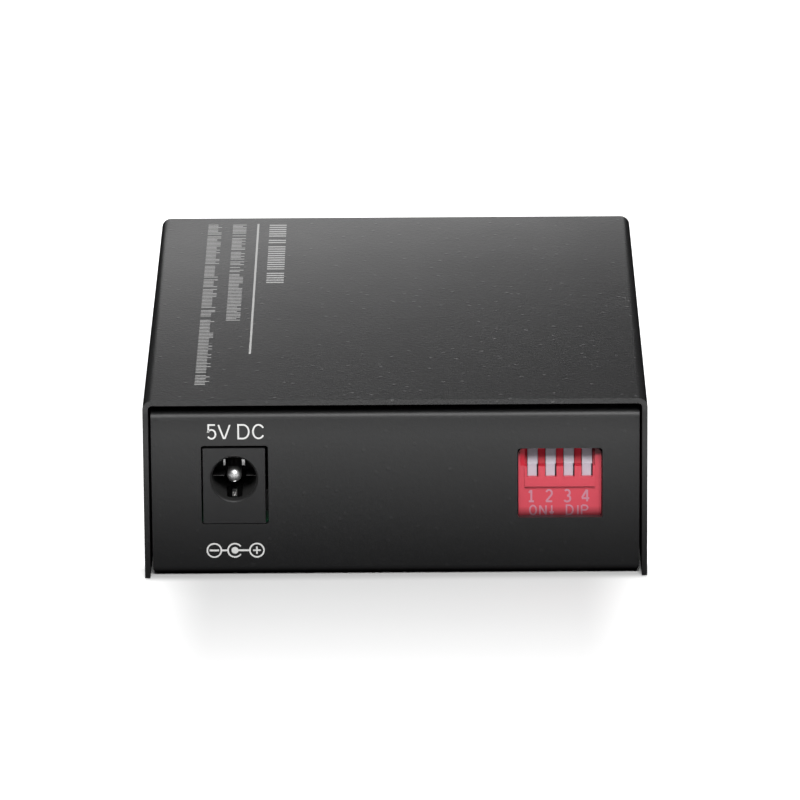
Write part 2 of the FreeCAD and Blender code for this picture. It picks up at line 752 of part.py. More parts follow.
def make_standoffs():
    """Hexagonal standoffs pressed into the floor, their stubs flush with the underside."""
    posts = []
    for number, (across, along) in enumerate(STANDOFF_PLACES, 1):
        stub = hexagonal_rod("standoff_stub_%d" % number, "standoff_stub_radius", "base_sheet",
                             across, along, "0")
        post = hexagonal_rod("standoff_post_%d" % number, "standoff_radius",
                             BOARD_FOOT + " - base_sheet", across, along, "base_sheet")
        posts.append(fuse("standoff_%d" % number, [stub, post]))
    return group("board_standoffs", posts)


def make_board_screws():
    """Hexagonal screws through the board. The threads in the standoffs aren't modelled, so each
    shank ends at its standoff."""
    screws = []
    for number, (across, along) in enumerate(STANDOFF_PLACES, 1):
        head = hexagonal_rod("board_screw_head_%d" % number, "board_screw_head",
                             "board_screw_head_up", across, along, BOARD_TOP)
        shank = rod("board_screw_shank_%d" % number, "board_screw_radius", "board_thickness",
                    across, along, BOARD_FOOT)
        screws.append(fuse("board_screw_%d" % number, [head, shank]))
    return group("board_screws", screws)


def make_board():
    body = new_body("circuit_board", up=BOARD_FOOT)
    plan = sketch_on(body, "XY_Plane", "board_plan")
    rectangle(plan, "-" + BOARD_HALF, BOARD_HALF, "-" + BOARD_END, BOARD_END)
    pad(body, plan, "board_thickness")
    round_corners(body, plan, range(4), "board_corner", "board_corners")

    holes = sketch_on(body, "XY_Plane", "board_holes")
    for across, along in STANDOFF_PLACES:
        circle(holes, across, along, "board_screw_radius + 2 * screw_clearance")
    for across, along in DIP_PIN_PLACES:
        square(holes, across, along, "dip_pin_width / 2 + pin_hole_clearance")
    for across, along in FIBRE_PIN_PLACES:
        square(holes, across, along, "fibre_pin_width / 2 + pin_hole_clearance")
    pocket(body, holes, reverse=True)

    # Slots for the flat tabs of the power inlet.
    slots = sketch_on(body, "XY_Plane", "board_slots")
    for (left, right), (near, far) in JACK_TABS:
        rectangle(slots, left + " - pin_hole_clearance", right + " + pin_hole_clearance",
                  near + " - pin_hole_clearance", far + " + pin_hole_clearance")
    pocket(body, slots, reverse=True)
    return body


# ---------------------------------------------------------------------------------------------
# Power inlet: moulded housing, centre pin and two contacts
# ---------------------------------------------------------------------------------------------

def make_jack_housing():
    body = new_body("dc_jack_housing", "jack_across", JACK_FACE, BOARD_TOP)
    head = sketch_on(body, "XZ_Plane", "jack_head")
    rectangle(head, "-jack_width / 2", "jack_width / 2", "0", "jack_height")
    pad(body, head, "jack_head_depth", reverse=True)

    # Behind the head the housing is a barrel on a straight foot.
    barrel = sketch_on(body, "XZ_Plane", "jack_barrel", "-jack_head_depth")
    circle(barrel, "0", "jack_axis_up", "jack_body_radius")
    length = "jack_depth - jack_head_depth"
    pad(body, barrel, length, reverse=True)
    foot = sketch_on(body, "XZ_Plane", "jack_foot", "-jack_head_depth")
    rectangle(foot, "-jack_body_radius", "jack_body_radius", "0", "jack_axis_up")
    pad(body, foot, length, reverse=True)

    bore = sketch_on(body, "XZ_Plane", "jack_bore")
    circle(bore, "0", "jack_axis_up", "jack_bore_radius")
    pocket(body, bore, "jack_bore_depth")
    mouth = circle_edges(body.Tip, "jack_bore_radius", 0)
    dress(body, "Chamfer", "jack_mouth", mouth, "Size", "jack_bore_chamfer")

    # The roof of the barrel is open over the bore, and a channel under it takes the leaf.
    roof = sketch_on(body, "XY_Plane", "jack_roof", "jack_axis_up")
    rectangle(roof, "-jack_roof_slot / 2", "jack_roof_slot / 2", "jack_head_depth",
              "jack_bore_depth")
    pocket(body, roof, "jack_height - jack_axis_up", reverse=True)
    channel = sketch_on(body, "XY_Plane", "jack_channel")
    rectangle(channel, "-jack_channel_width / 2", "jack_channel_width / 2", "jack_leaf_start",
              "jack_leaf_end + 2 * jack_leaf_thickness")
    pocket(body, channel, "jack_axis_up", reverse=True)

    # The square hole for the pin's root through the back wall.
    hole = sketch_on(body, "XZ_Plane", "jack_pin_hole", "-jack_depth")
    square(hole, "0", "jack_axis_up", "jack_root_width / 2")
    pocket(body, hole, "jack_depth - jack_bore_depth", reverse=True)
    return body


def make_jack_pin():
    """Centre pin with a chamfered tip and a square root in the back wall of the housing. Its
    tail is a flat tab down through the board."""
    body = new_body("dc_jack_pin", "jack_across", JACK_FACE, JACK_AXIS)
    section = sketch_on(body, "XZ_Plane", "pin_section", "-jack_pin_recess")
    circle(section, "0", "0", "jack_pin_radius")
    pad(body, section, "jack_bore_depth - jack_pin_recess", reverse=True)
    doc.recompute()
    tip = circle_edges(body.Tip, "jack_pin_radius", sheet.get("jack_pin_recess"))
    dress(body, "Chamfer", "pin_tip", tip, "Size", "jack_pin_tip")
    root = sketch_on(body, "XZ_Plane", "pin_root", "-jack_bore_depth")
    square(root, "0", "0", "jack_root_width / 2")
    pad(body, root, "jack_depth - jack_bore_depth", reverse=True)
    tab = sketch_on(body, "XZ_Plane", "pin_tab", "-jack_depth")
    rectangle(tab, "-jack_tab_width / 2", "jack_tab_width / 2",
              "-(jack_axis_up + %s)" % PIN_LENGTH, "jack_root_width / 2")
    pad(body, tab, "jack_tab_thickness", reverse=True)
    return body


def make_jack_leaf():
    """Sleeve contact: a leaf along the floor of the bore that turns down through the board."""
    body = new_body("dc_jack_sleeve_contact", "jack_across", JACK_FACE, BOARD_TOP)
    side = sketch_on(body, "YZ_Plane", "leaf_side")
    low = "jack_axis_up - jack_bore_radius"
    high = low + " + jack_leaf_rise"
    outline(side, [
        ("jack_leaf_start + jack_leaf_thickness", low), ("jack_leaf_end - jack_leaf_thickness", high),
        ("jack_leaf_end", high), ("jack_leaf_end", "-" + PIN_LENGTH),
        ("jack_leaf_end + jack_leaf_thickness", "-" + PIN_LENGTH),
        ("jack_leaf_end + jack_leaf_thickness", high + " + jack_leaf_thickness"),
        ("jack_leaf_end - jack_leaf_thickness", high + " + jack_leaf_thickness"),
        ("jack_leaf_start + jack_leaf_thickness", low + " + jack_leaf_thickness")])
    pad(body, side, "jack_leaf_width", centred=True)
    return body


def make_jack_side_contact():
    """Switch contact: a flat tab against the side of the housing."""
    tab = block("dc_jack_switch_contact", JACK_SIDE_TAB[0], JACK_SIDE_TAB[1],
                (BOARD_TOP + " - " + PIN_LENGTH, BOARD_TOP + " + jack_side_tab_up"))
    return tab


# ---------------------------------------------------------------------------------------------
# DIP switch: comb-fronted body, four rocking levers and two rows of pins
# ---------------------------------------------------------------------------------------------

def make_dip_body():
    body = new_body("dip_switch_body", "dip_across", DIP_FACE, BOARD_TOP)
    front = sketch_on(body, "XZ_Plane", "dip_front")
    rectangle(front, "-%s / 2" % DIP_WIDTH, DIP_WIDTH + " / 2", "0", "dip_height")
    pad(body, front, "dip_depth", reverse=True)
    round_corners(body, front, [2, 3], "dip_shoulder", "dip_shoulders")
    comb_half = "(%s / 2 - dip_cheek)" % DIP_WIDTH
    comb = sketch_on(body, "XZ_Plane", "dip_comb")
    rectangle(comb, "-" + comb_half, comb_half, "dip_comb_foot", "dip_comb_top")
    pad(body, comb, "dip_comb_proud")

    # Above the comb the front leans back between the two cheeks.
    recess = sketch_on(body, "YZ_Plane", "dip_recess")
    outline(recess, [("-dip_comb_proud", "dip_comb_top"), ("dip_recess_foot_depth", "dip_comb_top"),
                     ("dip_recess_top_depth", "dip_height + dip_comb_proud"),
                     ("-dip_comb_proud", "dip_height + dip_comb_proud")])
    pocket(body, recess, "2 * " + comb_half, centred=True)

    # Each way has a slot open to the front and the top, and a cavity behind the lip.
    slots = sketch_on(body, "XY_Plane", "dip_slots", "dip_height")
    cavities = sketch_on(body, "XY_Plane", "dip_cavities", "dip_height")
    for middle in DIP_WAYS:
        left = "%s - dip_slot_width / 2" % middle
        right = "%s + dip_slot_width / 2" % middle
        rectangle(slots, left, right, "-2 * dip_comb_proud", "dip_cavity_depth")
        rectangle(cavities, left, right, "dip_lip - dip_comb_proud", "dip_cavity_depth")
    pocket(body, slots, "dip_height - dip_slot_foot")
    pocket(body, cavities, "dip_height - dip_cavity_foot")

    # A groove across all the ways takes the levers' trunnions.
    groove = sketch_on(body, "YZ_Plane", "dip_groove")
    reach = "(dip_trunnion_radius + dip_trunnion_clearance)"
    rectangle(groove, "dip_pivot_behind - " + reach, "dip_pivot_behind + " + reach,
              "dip_pivot_up - " + reach,
              "dip_pivot_up + dip_trunnion_radius / 2 + dip_trunnion_clearance")
    pocket(body, groove, "(dip_ways - 1) * dip_pitch + dip_slot_width"
           " + 2 * (dip_trunnion_length + dip_trunnion_clearance)", centred=True)
    return body


def make_dip_lever(number, middle):
    """A lever whose nose has an upright lower face and a leaning upper face."""
    body = new_body("dip_lever_%d" % number, "dip_across + " + middle, DIP_FACE, BOARD_TOP)
    side = sketch_on(body, "YZ_Plane", "lever_side_%d" % number)
    nose = DIP_LEVER_FRONT
    outline(side, [
        (nose, "dip_lever_foot_up"), (nose, "dip_lever_edge_up"),
        (nose + " + dip_lever_slope", "dip_lever_top_up"),
        ("dip_pivot_behind - dip_lever_tail / 2", "dip_lever_top_up"),
        ("dip_pivot_behind + dip_lever_tail", "dip_pivot_up + dip_lever_tail"),
        ("dip_pivot_behind + dip_lever_tail", "dip_pivot_up - dip_lever_tail"),
        ("dip_pivot_behind - dip_lever_tail / 2", "dip_lever_foot_up")])
    pad(body, side, "dip_slot_width - 2 * dip_lever_side_gap", centred=True)

    # The lower face is a little narrower on one side.
    rebate = sketch_on(body, "XZ_Plane", "lever_rebate_%d" % number, "-dip_pivot_behind")
    rectangle(rebate, "dip_slot_width / 2 - dip_lever_side_gap - dip_lever_rebate",
              "dip_slot_width / 2", "dip_lever_foot_up - dip_lever_rebate", "dip_lever_edge_up")
    pocket(body, rebate, "dip_pivot_behind", reverse=True)

    # Half-round trunnions, flat on top so that the lever snaps into the body.
    trunnion = sketch_on(body, "YZ_Plane", "lever_trunnion_%d" % number)
    half_round(trunnion, "dip_pivot_behind", "dip_pivot_up", "dip_trunnion_radius")
    pad(body, trunnion, "dip_slot_width + 2 * dip_trunnion_length", centred=True)
    return body


def square_pins(name, kind, places):
    """Square pins from a housing's foot down through the board."""
    pins = []
    half = kind + "_width / 2"
    for number, (across, along) in enumerate(places, 1):
        pins.append(block("%s_%d" % (kind, number),
                          ("%s - %s" % (across, half), "%s + %s" % (across, half)),
                          ("%s - %s" % (along, half), "%s + %s" % (along, half)),
                          (BOARD_TOP + " - " + PIN_LENGTH, BOARD_TOP)))
    return group(name, pins)


def make_dip_pins():
    return square_pins("dip_switch_pins", "dip_pin", DIP_PIN_PLACES)


# ---------------------------------------------------------------------------------------------
# Copper network port: metal shell, plastic insert and sprung contacts
# ---------------------------------------------------------------------------------------------

def make_socket_shell():
    """Shell folded from thin sheet, open at the mouth and the foot."""
    body = new_body("network_socket_shell", "socket_across", SOCKET_FACE, BOARD_TOP)
    plan = sketch_on(body, "XZ_Plane", "shell_front")
    rectangle(plan, "-socket_width / 2", "socket_width / 2", "0", "socket_height")
    pad(body, plan, "socket_depth")
    round_corners(body, plan, [2, 3], "socket_shell", "shell_folds")
    inside = sketch_on(body, "XZ_Plane", "shell_inside")
    rectangle(inside, "-socket_width / 2 + socket_shell", "socket_width / 2 - socket_shell",
              "-socket_shell", "socket_height - socket_shell")
    pocket(body, inside, "socket_depth - socket_shell", reverse=True)
    return body


def make_socket_insert():
    """Insert with the plug's mouth, the latch's step under it and a comb for the contacts."""
    body = new_body("network_socket_insert", "socket_across", SOCKET_FACE, BOARD_TOP)
    front = sketch_on(body, "XZ_Plane", "insert_front", "socket_shell")
    half = "(socket_width / 2 - socket_shell - socket_insert_gap)"
    rectangle(front, "-" + half, half, "0", "socket_height - socket_shell - socket_insert_gap")
    pad(body, front, "socket_depth - 2 * socket_shell - socket_insert_gap")
    mouth = sketch_on(body, "XZ_Plane", "insert_mouth")
    rectangle(mouth, "-socket_mouth_width / 2", "socket_mouth_width / 2",
              "socket_mouth_foot", "socket_mouth_foot + socket_mouth_height")
    pocket(body, mouth, "socket_mouth_depth", reverse=True)
    latch = sketch_on(body, "XZ_Plane", "insert_latch")
    rectangle(latch, "-socket_latch_width / 2", "socket_latch_width / 2",
              "socket_mouth_foot - socket_latch_height", "socket_mouth_foot + socket_latch_height")
    pocket(body, latch, "socket_mouth_depth", reverse=True)

    # One slot for each contact in the roof over the mouth.
    comb = sketch_on(body, "XZ_Plane", "insert_comb")
    roof = "socket_mouth_foot + socket_mouth_height"
    for middle in CONTACT_WAYS:
        rectangle(comb, "%s - contact_width" % middle, "%s + contact_width" % middle,
                  roof + " - contact_thickness", roof + " + contact_roof_slot")
    pocket(body, comb, "socket_mouth_depth", reverse=True)
    return body


def make_socket_contacts():
    """Contacts that slope down into the mouth from its roof."""
    wires = []
    roof = "(%s + socket_mouth_foot + socket_mouth_height)" % BOARD_TOP
    for number, middle in enumerate(CONTACT_WAYS, 1):
        wire = doc.addObject("Part::Box", "contact_%d" % number)
        bind(wire, "Length", "contact_width")
        bind(wire, "Width", "contact_length")
        bind(wire, "Height", "contact_thickness")
        place(wire, "socket_across + %s - contact_width / 2" % middle,
              "%s - socket_shell - contact_set_back" % SOCKET_FACE + " - contact_length",
              roof + " + contact_roof_slot - contact_thickness - contact_drop", (1, 0, 0), 1)
        bind(wire, "Placement.Rotation.Angle", "asin(contact_rise / contact_length)")
        wires.append(wire)
    return group("network_socket_contacts", wires)


# ---------------------------------------------------------------------------------------------
# Fibre port: transceiver housing, two bayonet barrels with ferrule sleeves, a row of pins
# ---------------------------------------------------------------------------------------------

def make_fibre_housing():
    body = new_body("fibre_transceiver_housing", "fibre_across", FIBRE_HOUSING_FACE, BOARD_TOP)
    plan = sketch_on(body, "XY_Plane", "fibre_plan")
    rectangle(plan, "-fibre_housing_width / 2", "fibre_housing_width / 2",
              "-fibre_housing_depth", "0")
    pad(body, plan, "fibre_housing_height")
    slant_corners(body, plan, range(4), "fibre_housing_edge", "fibre_corners")

    # The lid is a step narrower behind the barrels, and the pins stand in an open recess below.
    step = sketch_on(body, "YZ_Plane", "fibre_step")
    rectangle(step, "-fibre_housing_depth - fibre_housing_edge", "-fibre_nose_depth",
              "fibre_housing_height - fibre_housing_step",
              "fibre_housing_height + fibre_housing_step")
    pocket(body, step, "fibre_housing_width + fibre_housing_edge", centred=True)
    return body


def make_fibre_barrel(name, across):
    """Collar and thin bayonet barrel in one, with two lugs and a keyway."""
    body = new_body(name, across, FIBRE_HOUSING_FACE, FIBRE_AXIS)
    half = sketch_on(body, "YZ_Plane", name + "_half")
    face = "(base_sheet + board_end_gap + fibre_collar_proud)"
    mouth = "(%s + fibre_barrel_length)" % face
    outline(half, [
        ("0", "fibre_barrel_bore"), ("0", "fibre_collar_radius"), (face, "fibre_collar_radius"),
        (face, "fibre_barrel_radius"), (mouth, "fibre_barrel_radius"),
        (mouth, "fibre_barrel_bore")])
    turned = body.newObject("PartDesign::Revolution", name + "_turned")
    turned.Profile = half
    turned.ReferenceAxis = (half, ["H_Axis"])
    turned.Angle = 360

    for side, reverse in (("", False), ("-", True)):
        lug = sketch_on(body, "YZ_Plane", "%s_lug_%s" % (name, "right" if reverse else "left"),
                        side + "(fibre_barrel_bore + fibre_barrel_radius) / 2")
        square(lug, mouth + " - fibre_lug_from_mouth", "0", "fibre_lug_width / 2")
        pad(body, lug, "(fibre_barrel_radius - fibre_barrel_bore) / 2 + fibre_lug_proud",
            reverse=reverse)
    keyway = sketch_on(body, "XY_Plane", name + "_keyway")
    rectangle(keyway, "-fibre_keyway_width / 2", "fibre_keyway_width / 2",
              mouth + " - fibre_keyway_depth", mouth + " + fibre_keyway_depth")
    pocket(body, keyway, "2 * fibre_barrel_radius", reverse=True)
    return body


def make_fibre_sleeve(name, across):
    """Alignment sleeve that stands on the housing and centres the ferrule of the plug."""
    length = "(base_sheet + board_end_gap + fibre_collar_proud + fibre_barrel_length" \
             " - fibre_sleeve_set_back)"
    axis, angle = BACKWARD
    tube = rod(name + "_tube", "fibre_sleeve_radius", length, across, FIBRE_HOUSING_FACE,
               FIBRE_AXIS, axis, angle)
    bore = rod(name + "_bore", "fibre_sleeve_bore", length, across, FIBRE_HOUSING_FACE,
               FIBRE_AXIS, axis, angle)
    return cut(name, tube, bore)


def make_fibre_pins():
    return square_pins("fibre_transceiver_pins", "fibre_pin", FIBRE_PIN_PLACES)


# ---------------------------------------------------------------------------------------------
# Status lamps in a common holder behind the front panel
# ---------------------------------------------------------------------------------------------

def make_lamp_holder():
    body = new_body("status_lamp_holder", up=BOARD_TOP)
    front = sketch_on(body, "XZ_Plane", "holder_front", "-%s" % LAMP_HOLDER_FACE)
    left, right = ["lamp_across %s %s" % (sign, LAMP_HOLDER_HALF) for sign in "-+"]
    rectangle(front, left, right, "0", LAMP_HOLDER_TOP)
    pad(body, front, "lamp_holder_depth")
    seats = sketch_on(body, "XZ_Plane", "holder_seats", "-%s" % LAMP_HOLDER_FACE)
    for across, up in LAMP_PLACES:
        middle = "(%s - %s)" % (up, BOARD_TOP)
        rectangle(seats, "%s - lamp_width / 2 - lamp_seat_gap" % across,
                  "%s + lamp_width / 2 + lamp_seat_gap" % across,
                  "%s - lamp_height / 2 - lamp_seat_gap" % middle,
                  "%s + lamp_height / 2 + lamp_seat_gap" % middle)
    pocket(body, seats, "lamp_length - lamp_proud + lamp_holder_proud", reverse=True)

    # Under the panel's window the holder steps back behind the panel.
    foot = sketch_on(body, "YZ_Plane", "holder_foot", "lamp_across")
    rectangle(foot, FRONT_FACE + " - base_sheet - board_end_gap",
              LAMP_HOLDER_FACE + " + lamp_holder_proud", "-lamp_holder_foot", "lamp_holder_foot")
    pocket(body, foot, "2 * %s + lamp_holder_wall" % LAMP_HOLDER_HALF, centred=True)
    return body


def make_lamp(number, across, up):
    """An oblong lamp that stands a little proud of the holder."""
    return block("status_lamp_%d" % number,
                 (across + " - lamp_width / 2", across + " + lamp_width / 2"),
                 (LAMP_TIP + " - lamp_length", LAMP_TIP),
                 (up + " - lamp_height / 2", up + " + lamp_height / 2"))


# ---------------------------------------------------------------------------------------------
# Parts soldered on the board
# ---------------------------------------------------------------------------------------------

def make_chip():
    """Square converter chip with a row of leads along each side."""
    body = block("chip_body", ("-chip_side / 2", "chip_side / 2"),
                 ("chip_along - chip_side / 2", "chip_along + chip_side / 2"),
                 (BOARD_TOP + " + chip_standoff", BOARD_TOP + " + chip_height"))
    pieces = [body]
    up = (BOARD_TOP, BOARD_TOP + " + chip_lead_height")
    inner, outer = "chip_side / 2", "(chip_side / 2 + chip_lead_reach)"
    for number in range(SIZES["chip_leads_per_side"]):
        middle = "(chip_lead_pitch * (%d - (chip_leads_per_side - 1) / 2))" % number
        near, far = middle + " - chip_lead_width / 2", middle + " + chip_lead_width / 2"
        across, along = (near, far), ("chip_along + " + near, "chip_along + " + far)
        tag = number + 1
        pieces += [block("chip_lead_left_%d" % tag, ("-" + outer, "-" + inner), along, up),
                   block("chip_lead_right_%d" % tag, (inner, outer), along, up),
                   block("chip_lead_rear_%d" % tag, across,
                         ("chip_along - " + outer, "chip_along - " + inner), up),
                   block("chip_lead_front_%d" % tag, across,
                         ("chip_along + " + inner, "chip_along + " + outer), up)]
    return fuse("converter_chip", pieces)


def make_magnetics():
    """Line transformer just behind the network socket."""
    front = "(%s - socket_depth - magnetics_off_socket)" % SOCKET_FACE
    return block("line_transformer",
                 ("socket_across - magnetics_width / 2", "socket_across + magnetics_width / 2"),
                 (front + " - magnetics_length", front),
                 (BOARD_TOP, BOARD_TOP + " + magnetics_height"))


def make_crystal():
    body = new_body("crystal_can", "crystal_across", "crystal_along", BOARD_TOP)
    plan = sketch_on(body, "XY_Plane", "crystal_plan")
    rectangle(plan, "-crystal_length / 2", "crystal_length / 2",
              "-crystal_width / 2", "crystal_width / 2")
    pad(body, plan, "crystal_height")
    slant_corners(body, plan, range(4), "crystal_corner", "crystal_ends")
    return body


def make_capacitor(name, across, along):
    """Round can on a square plastic foot."""
    half = "capacitor_base_side / 2"
    foot = block(name + "_foot", ("%s - %s" % (across, half), "%s + %s" % (across, half)),
                 ("%s - %s" % (along, half), "%s + %s" % (along, half)),
                 (BOARD_TOP, BOARD_TOP + " + capacitor_base_up"))
    can = rod(name + "_can", "capacitor_radius", "capacitor_height", across, along, BOARD_TOP)
    return fuse(name, [foot, can])


def make_inductor():
    body = new_body("power_inductor", "inductor_across", "inductor_along", BOARD_TOP)
    plan = sketch_on(body, "XY_Plane", "inductor_plan")
    half = "inductor_side / 2"
    rectangle(plan, "-" + half, half, "-" + half, half)
    pad(body, plan, "inductor_height")
    slant_corners(body, plan, range(4), "inductor_corner", "inductor_corners")
    return body


def make_regulator():
    across = ("regulator_across - regulator_width / 2", "regulator_across + regulator_width / 2")
    along = ("regulator_along - regulator_length / 2", "regulator_along + regulator_length / 2")
    return block("voltage_regulator", across, along, (BOARD_TOP, BOARD_TOP + " + regulator_height"))


# ---------------------------------------------------------------------------------------------
# Build, check and write every sub-part
# ---------------------------------------------------------------------------------------------

parts = [make_base(), make_cover(), make_cover_screws(), make_standoffs(), make_board(),
         make_board_screws(), make_jack_housing(), make_jack_pin(), make_jack_leaf(),
         make_jack_side_contact(), make_dip_body(), make_dip_pins()]
parts += [make_dip_lever(number, middle) for number, middle in enumerate(DIP_WAYS, 1)]
parts += [make_socket_shell(), make_socket_insert(), make_socket_contacts()]
parts += [make_fibre_housing(), make_fibre_pins()]
for side, across in zip(("tx", "rx"), FIBRE_PLACES):
    parts.append(make_fibre_barrel("fibre_barrel_" + side, across))
    parts.append(make_fibre_sleeve("fibre_sleeve_" + side, across))
parts.append(make_lamp_holder())
parts += [make_lamp(number, across, up) for number, (across, up) in enumerate(LAMP_PLACES, 1)]
parts += [make_chip(), make_magnetics(), make_crystal(), make_inductor(), make_regulator()]
parts += [make_capacitor("input_capacitor", "jack_across + capacitor_off_jack", "capacitor_along"),
          make_capacitor("output_capacitor", "jack_across + 2 * capacitor_off_jack",
                         "capacitor_along")]
doc.recompute()

for thing in doc.Objects:
    if "Invalid" in thing.State or "Error" in thing.State:
        raise SystemExit("%s failed: %s" % (thing.Name, thing.State))
for part in parts:
    if part.Shape.isNull() or not part.Shape.isValid() or not part.Shape.Solids:
        raise SystemExit("%s has no valid solid" % part.Label)

os.makedirs("parts", exist_ok=True)
for part in parts:
    part.Shape.exportStep("parts/%s.step" % part.Label)
print("%d sub-parts written" % len(parts))
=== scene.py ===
"""Looks of a small fibre media converter: a folded black steel case with a power inlet and a
red DIP switch at the rear, and its network ports at the hidden front."""

import bpy
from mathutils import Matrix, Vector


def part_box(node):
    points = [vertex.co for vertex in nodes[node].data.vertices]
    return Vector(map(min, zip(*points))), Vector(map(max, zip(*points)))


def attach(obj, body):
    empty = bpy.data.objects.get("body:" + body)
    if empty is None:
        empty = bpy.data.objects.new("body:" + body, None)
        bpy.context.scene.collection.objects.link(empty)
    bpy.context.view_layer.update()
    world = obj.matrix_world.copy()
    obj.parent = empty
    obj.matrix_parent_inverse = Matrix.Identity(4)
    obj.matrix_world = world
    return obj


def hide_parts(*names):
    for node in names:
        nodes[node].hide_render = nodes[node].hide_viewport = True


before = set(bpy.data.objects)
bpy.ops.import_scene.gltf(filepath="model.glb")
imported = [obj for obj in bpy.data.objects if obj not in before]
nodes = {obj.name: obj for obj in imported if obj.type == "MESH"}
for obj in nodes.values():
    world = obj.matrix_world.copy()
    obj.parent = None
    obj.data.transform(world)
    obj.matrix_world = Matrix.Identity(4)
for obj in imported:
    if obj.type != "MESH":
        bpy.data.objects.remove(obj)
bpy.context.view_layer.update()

import bpy, math
from mathutils import Matrix, Quaternion, Vector

scene = bpy.context.scene
MM = 0.001

# ---------------------------------------------------------------------------------------------
# Camera, floor and studio
# The camera stands about a metre from the rear panel, a little above it, with a long lens. Soft
# lamps stand beyond the case and above the camera, over a white floor that glows, with a painted
# shadow before the case, and a small low card close beyond the lid's far edge draws the sheen on
# it.
# ---------------------------------------------------------------------------------------------

CAMERA_PLACE = (0.003599, -1.079215, 0.343798)
CAMERA_HEADING, CAMERA_DIP, CAMERA_ROLL = 0.16, 17.1117, -0.3969
FOCAL_LENGTH, SENSOR_WIDTH, NEAREST = 348.72, 36.0, 0.05

camera = bpy.data.objects.new("camera", bpy.data.cameras.new("camera"))
scene.collection.objects.link(camera)
scene.camera = camera
camera.data.sensor_width = SENSOR_WIDTH
camera.data.lens = FOCAL_LENGTH
camera.data.clip_start = NEAREST
camera.matrix_world = (
    Matrix.Translation(CAMERA_PLACE)
    @ Matrix.Rotation(math.radians(CAMERA_HEADING), 4, "Z")
    @ Matrix.Rotation(math.radians(90 - CAMERA_DIP), 4, "X")
    @ Matrix.Rotation(math.radians(CAMERA_ROLL), 4, "Z"))
scene.view_settings.view_transform = "Standard"


def add(tree, kind, settings=(), **links):
    """A node with settings by name, and links or values by input name."""
    node = tree.nodes.new(kind)
    for field, value in dict(settings).items():
        setattr(node, field, value)
    for label, source in links.items():
        socket = node.inputs[label.replace("_", " ")]
        if hasattr(source, "links"):
            tree.links.new(source, socket)
        else:
            socket.default_value = source
    return node


ROOM_LIGHT = 0.05
room = bpy.data.worlds.new("white room")
scene.world = room
room.use_nodes = True
room.node_tree.nodes.clear()
white_wall = add(room.node_tree, "ShaderNodeBackground", Color=(1, 1, 1, 1), Strength=1.0)
dim_wall = add(room.node_tree, "ShaderNodeBackground", Color=(1, 1, 1, 1), Strength=ROOM_LIGHT)
ray = add(room.node_tree, "ShaderNodeLightPath")
wall = add(room.node_tree, "ShaderNodeMixShader", Fac=ray.outputs["Is Camera Ray"])
room.node_tree.links.new(dim_wall.outputs[0], wall.inputs[1])
room.node_tree.links.new(white_wall.outputs[0], wall.inputs[2])
add(room.node_tree, "ShaderNodeOutputWorld", Surface=wall.outputs[0])


def reckon(tree, operation, *values):
    """A Math node on sockets or numbers."""
    node = add(tree, "ShaderNodeMath", {"operation": operation})
    for socket, value in zip(node.inputs, values):
        if hasattr(value, "links"):
            tree.links.new(value, socket)
        else:
            socket.default_value = value
    return node.outputs[0]


def ramp(tree, value, start, end, low, high):
    """A smooth ramp of a value between two limits, as a socket."""
    return add(tree, "ShaderNodeMapRange", {"interpolation_type": "SMOOTHSTEP"}, Value=value,
               From_Min=start, From_Max=end, To_Min=low, To_Max=high).outputs["Result"]


# To the eye the paper is grey where only FLOOR_LIFT is added to it, a painted shadow before the
# rear panel over the real one, and burnt out beyond SHADE_SIDES and SHADE_FRONT and behind. Under
# the case nothing is added. To the case the paper glows instead, BOUNCE_NEAR at the panel's foot,
# rising to BOUNCE further out: painted bounce light, with painted shade near the case.
PAPER_GREY = (0.5, 0.5, 0.5, 1)
FLOOR_LIFT, BURNT_OUT = 0.19, 0.64
SHADE_SIDES, SHADE_FRONT = (25 * MM, 39 * MM), (60 * MM, 125 * MM)
SHADE_BACK = (40 * MM, 46 * MM)
UNDER_SIDES, UNDER_ENDS = (34.6 * MM, 35.4 * MM), (45.5 * MM, 48.5 * MM)
PANEL_DISTANCE = 46 * MM
BOUNCE_NEAR, BOUNCE, BOUNCE_FAR = 0.11, 4.1, 0.4
BOUNCE_REACH, BOUNCE_START, BOUNCE_CURVE = 110 * MM, 0.01, 2.4


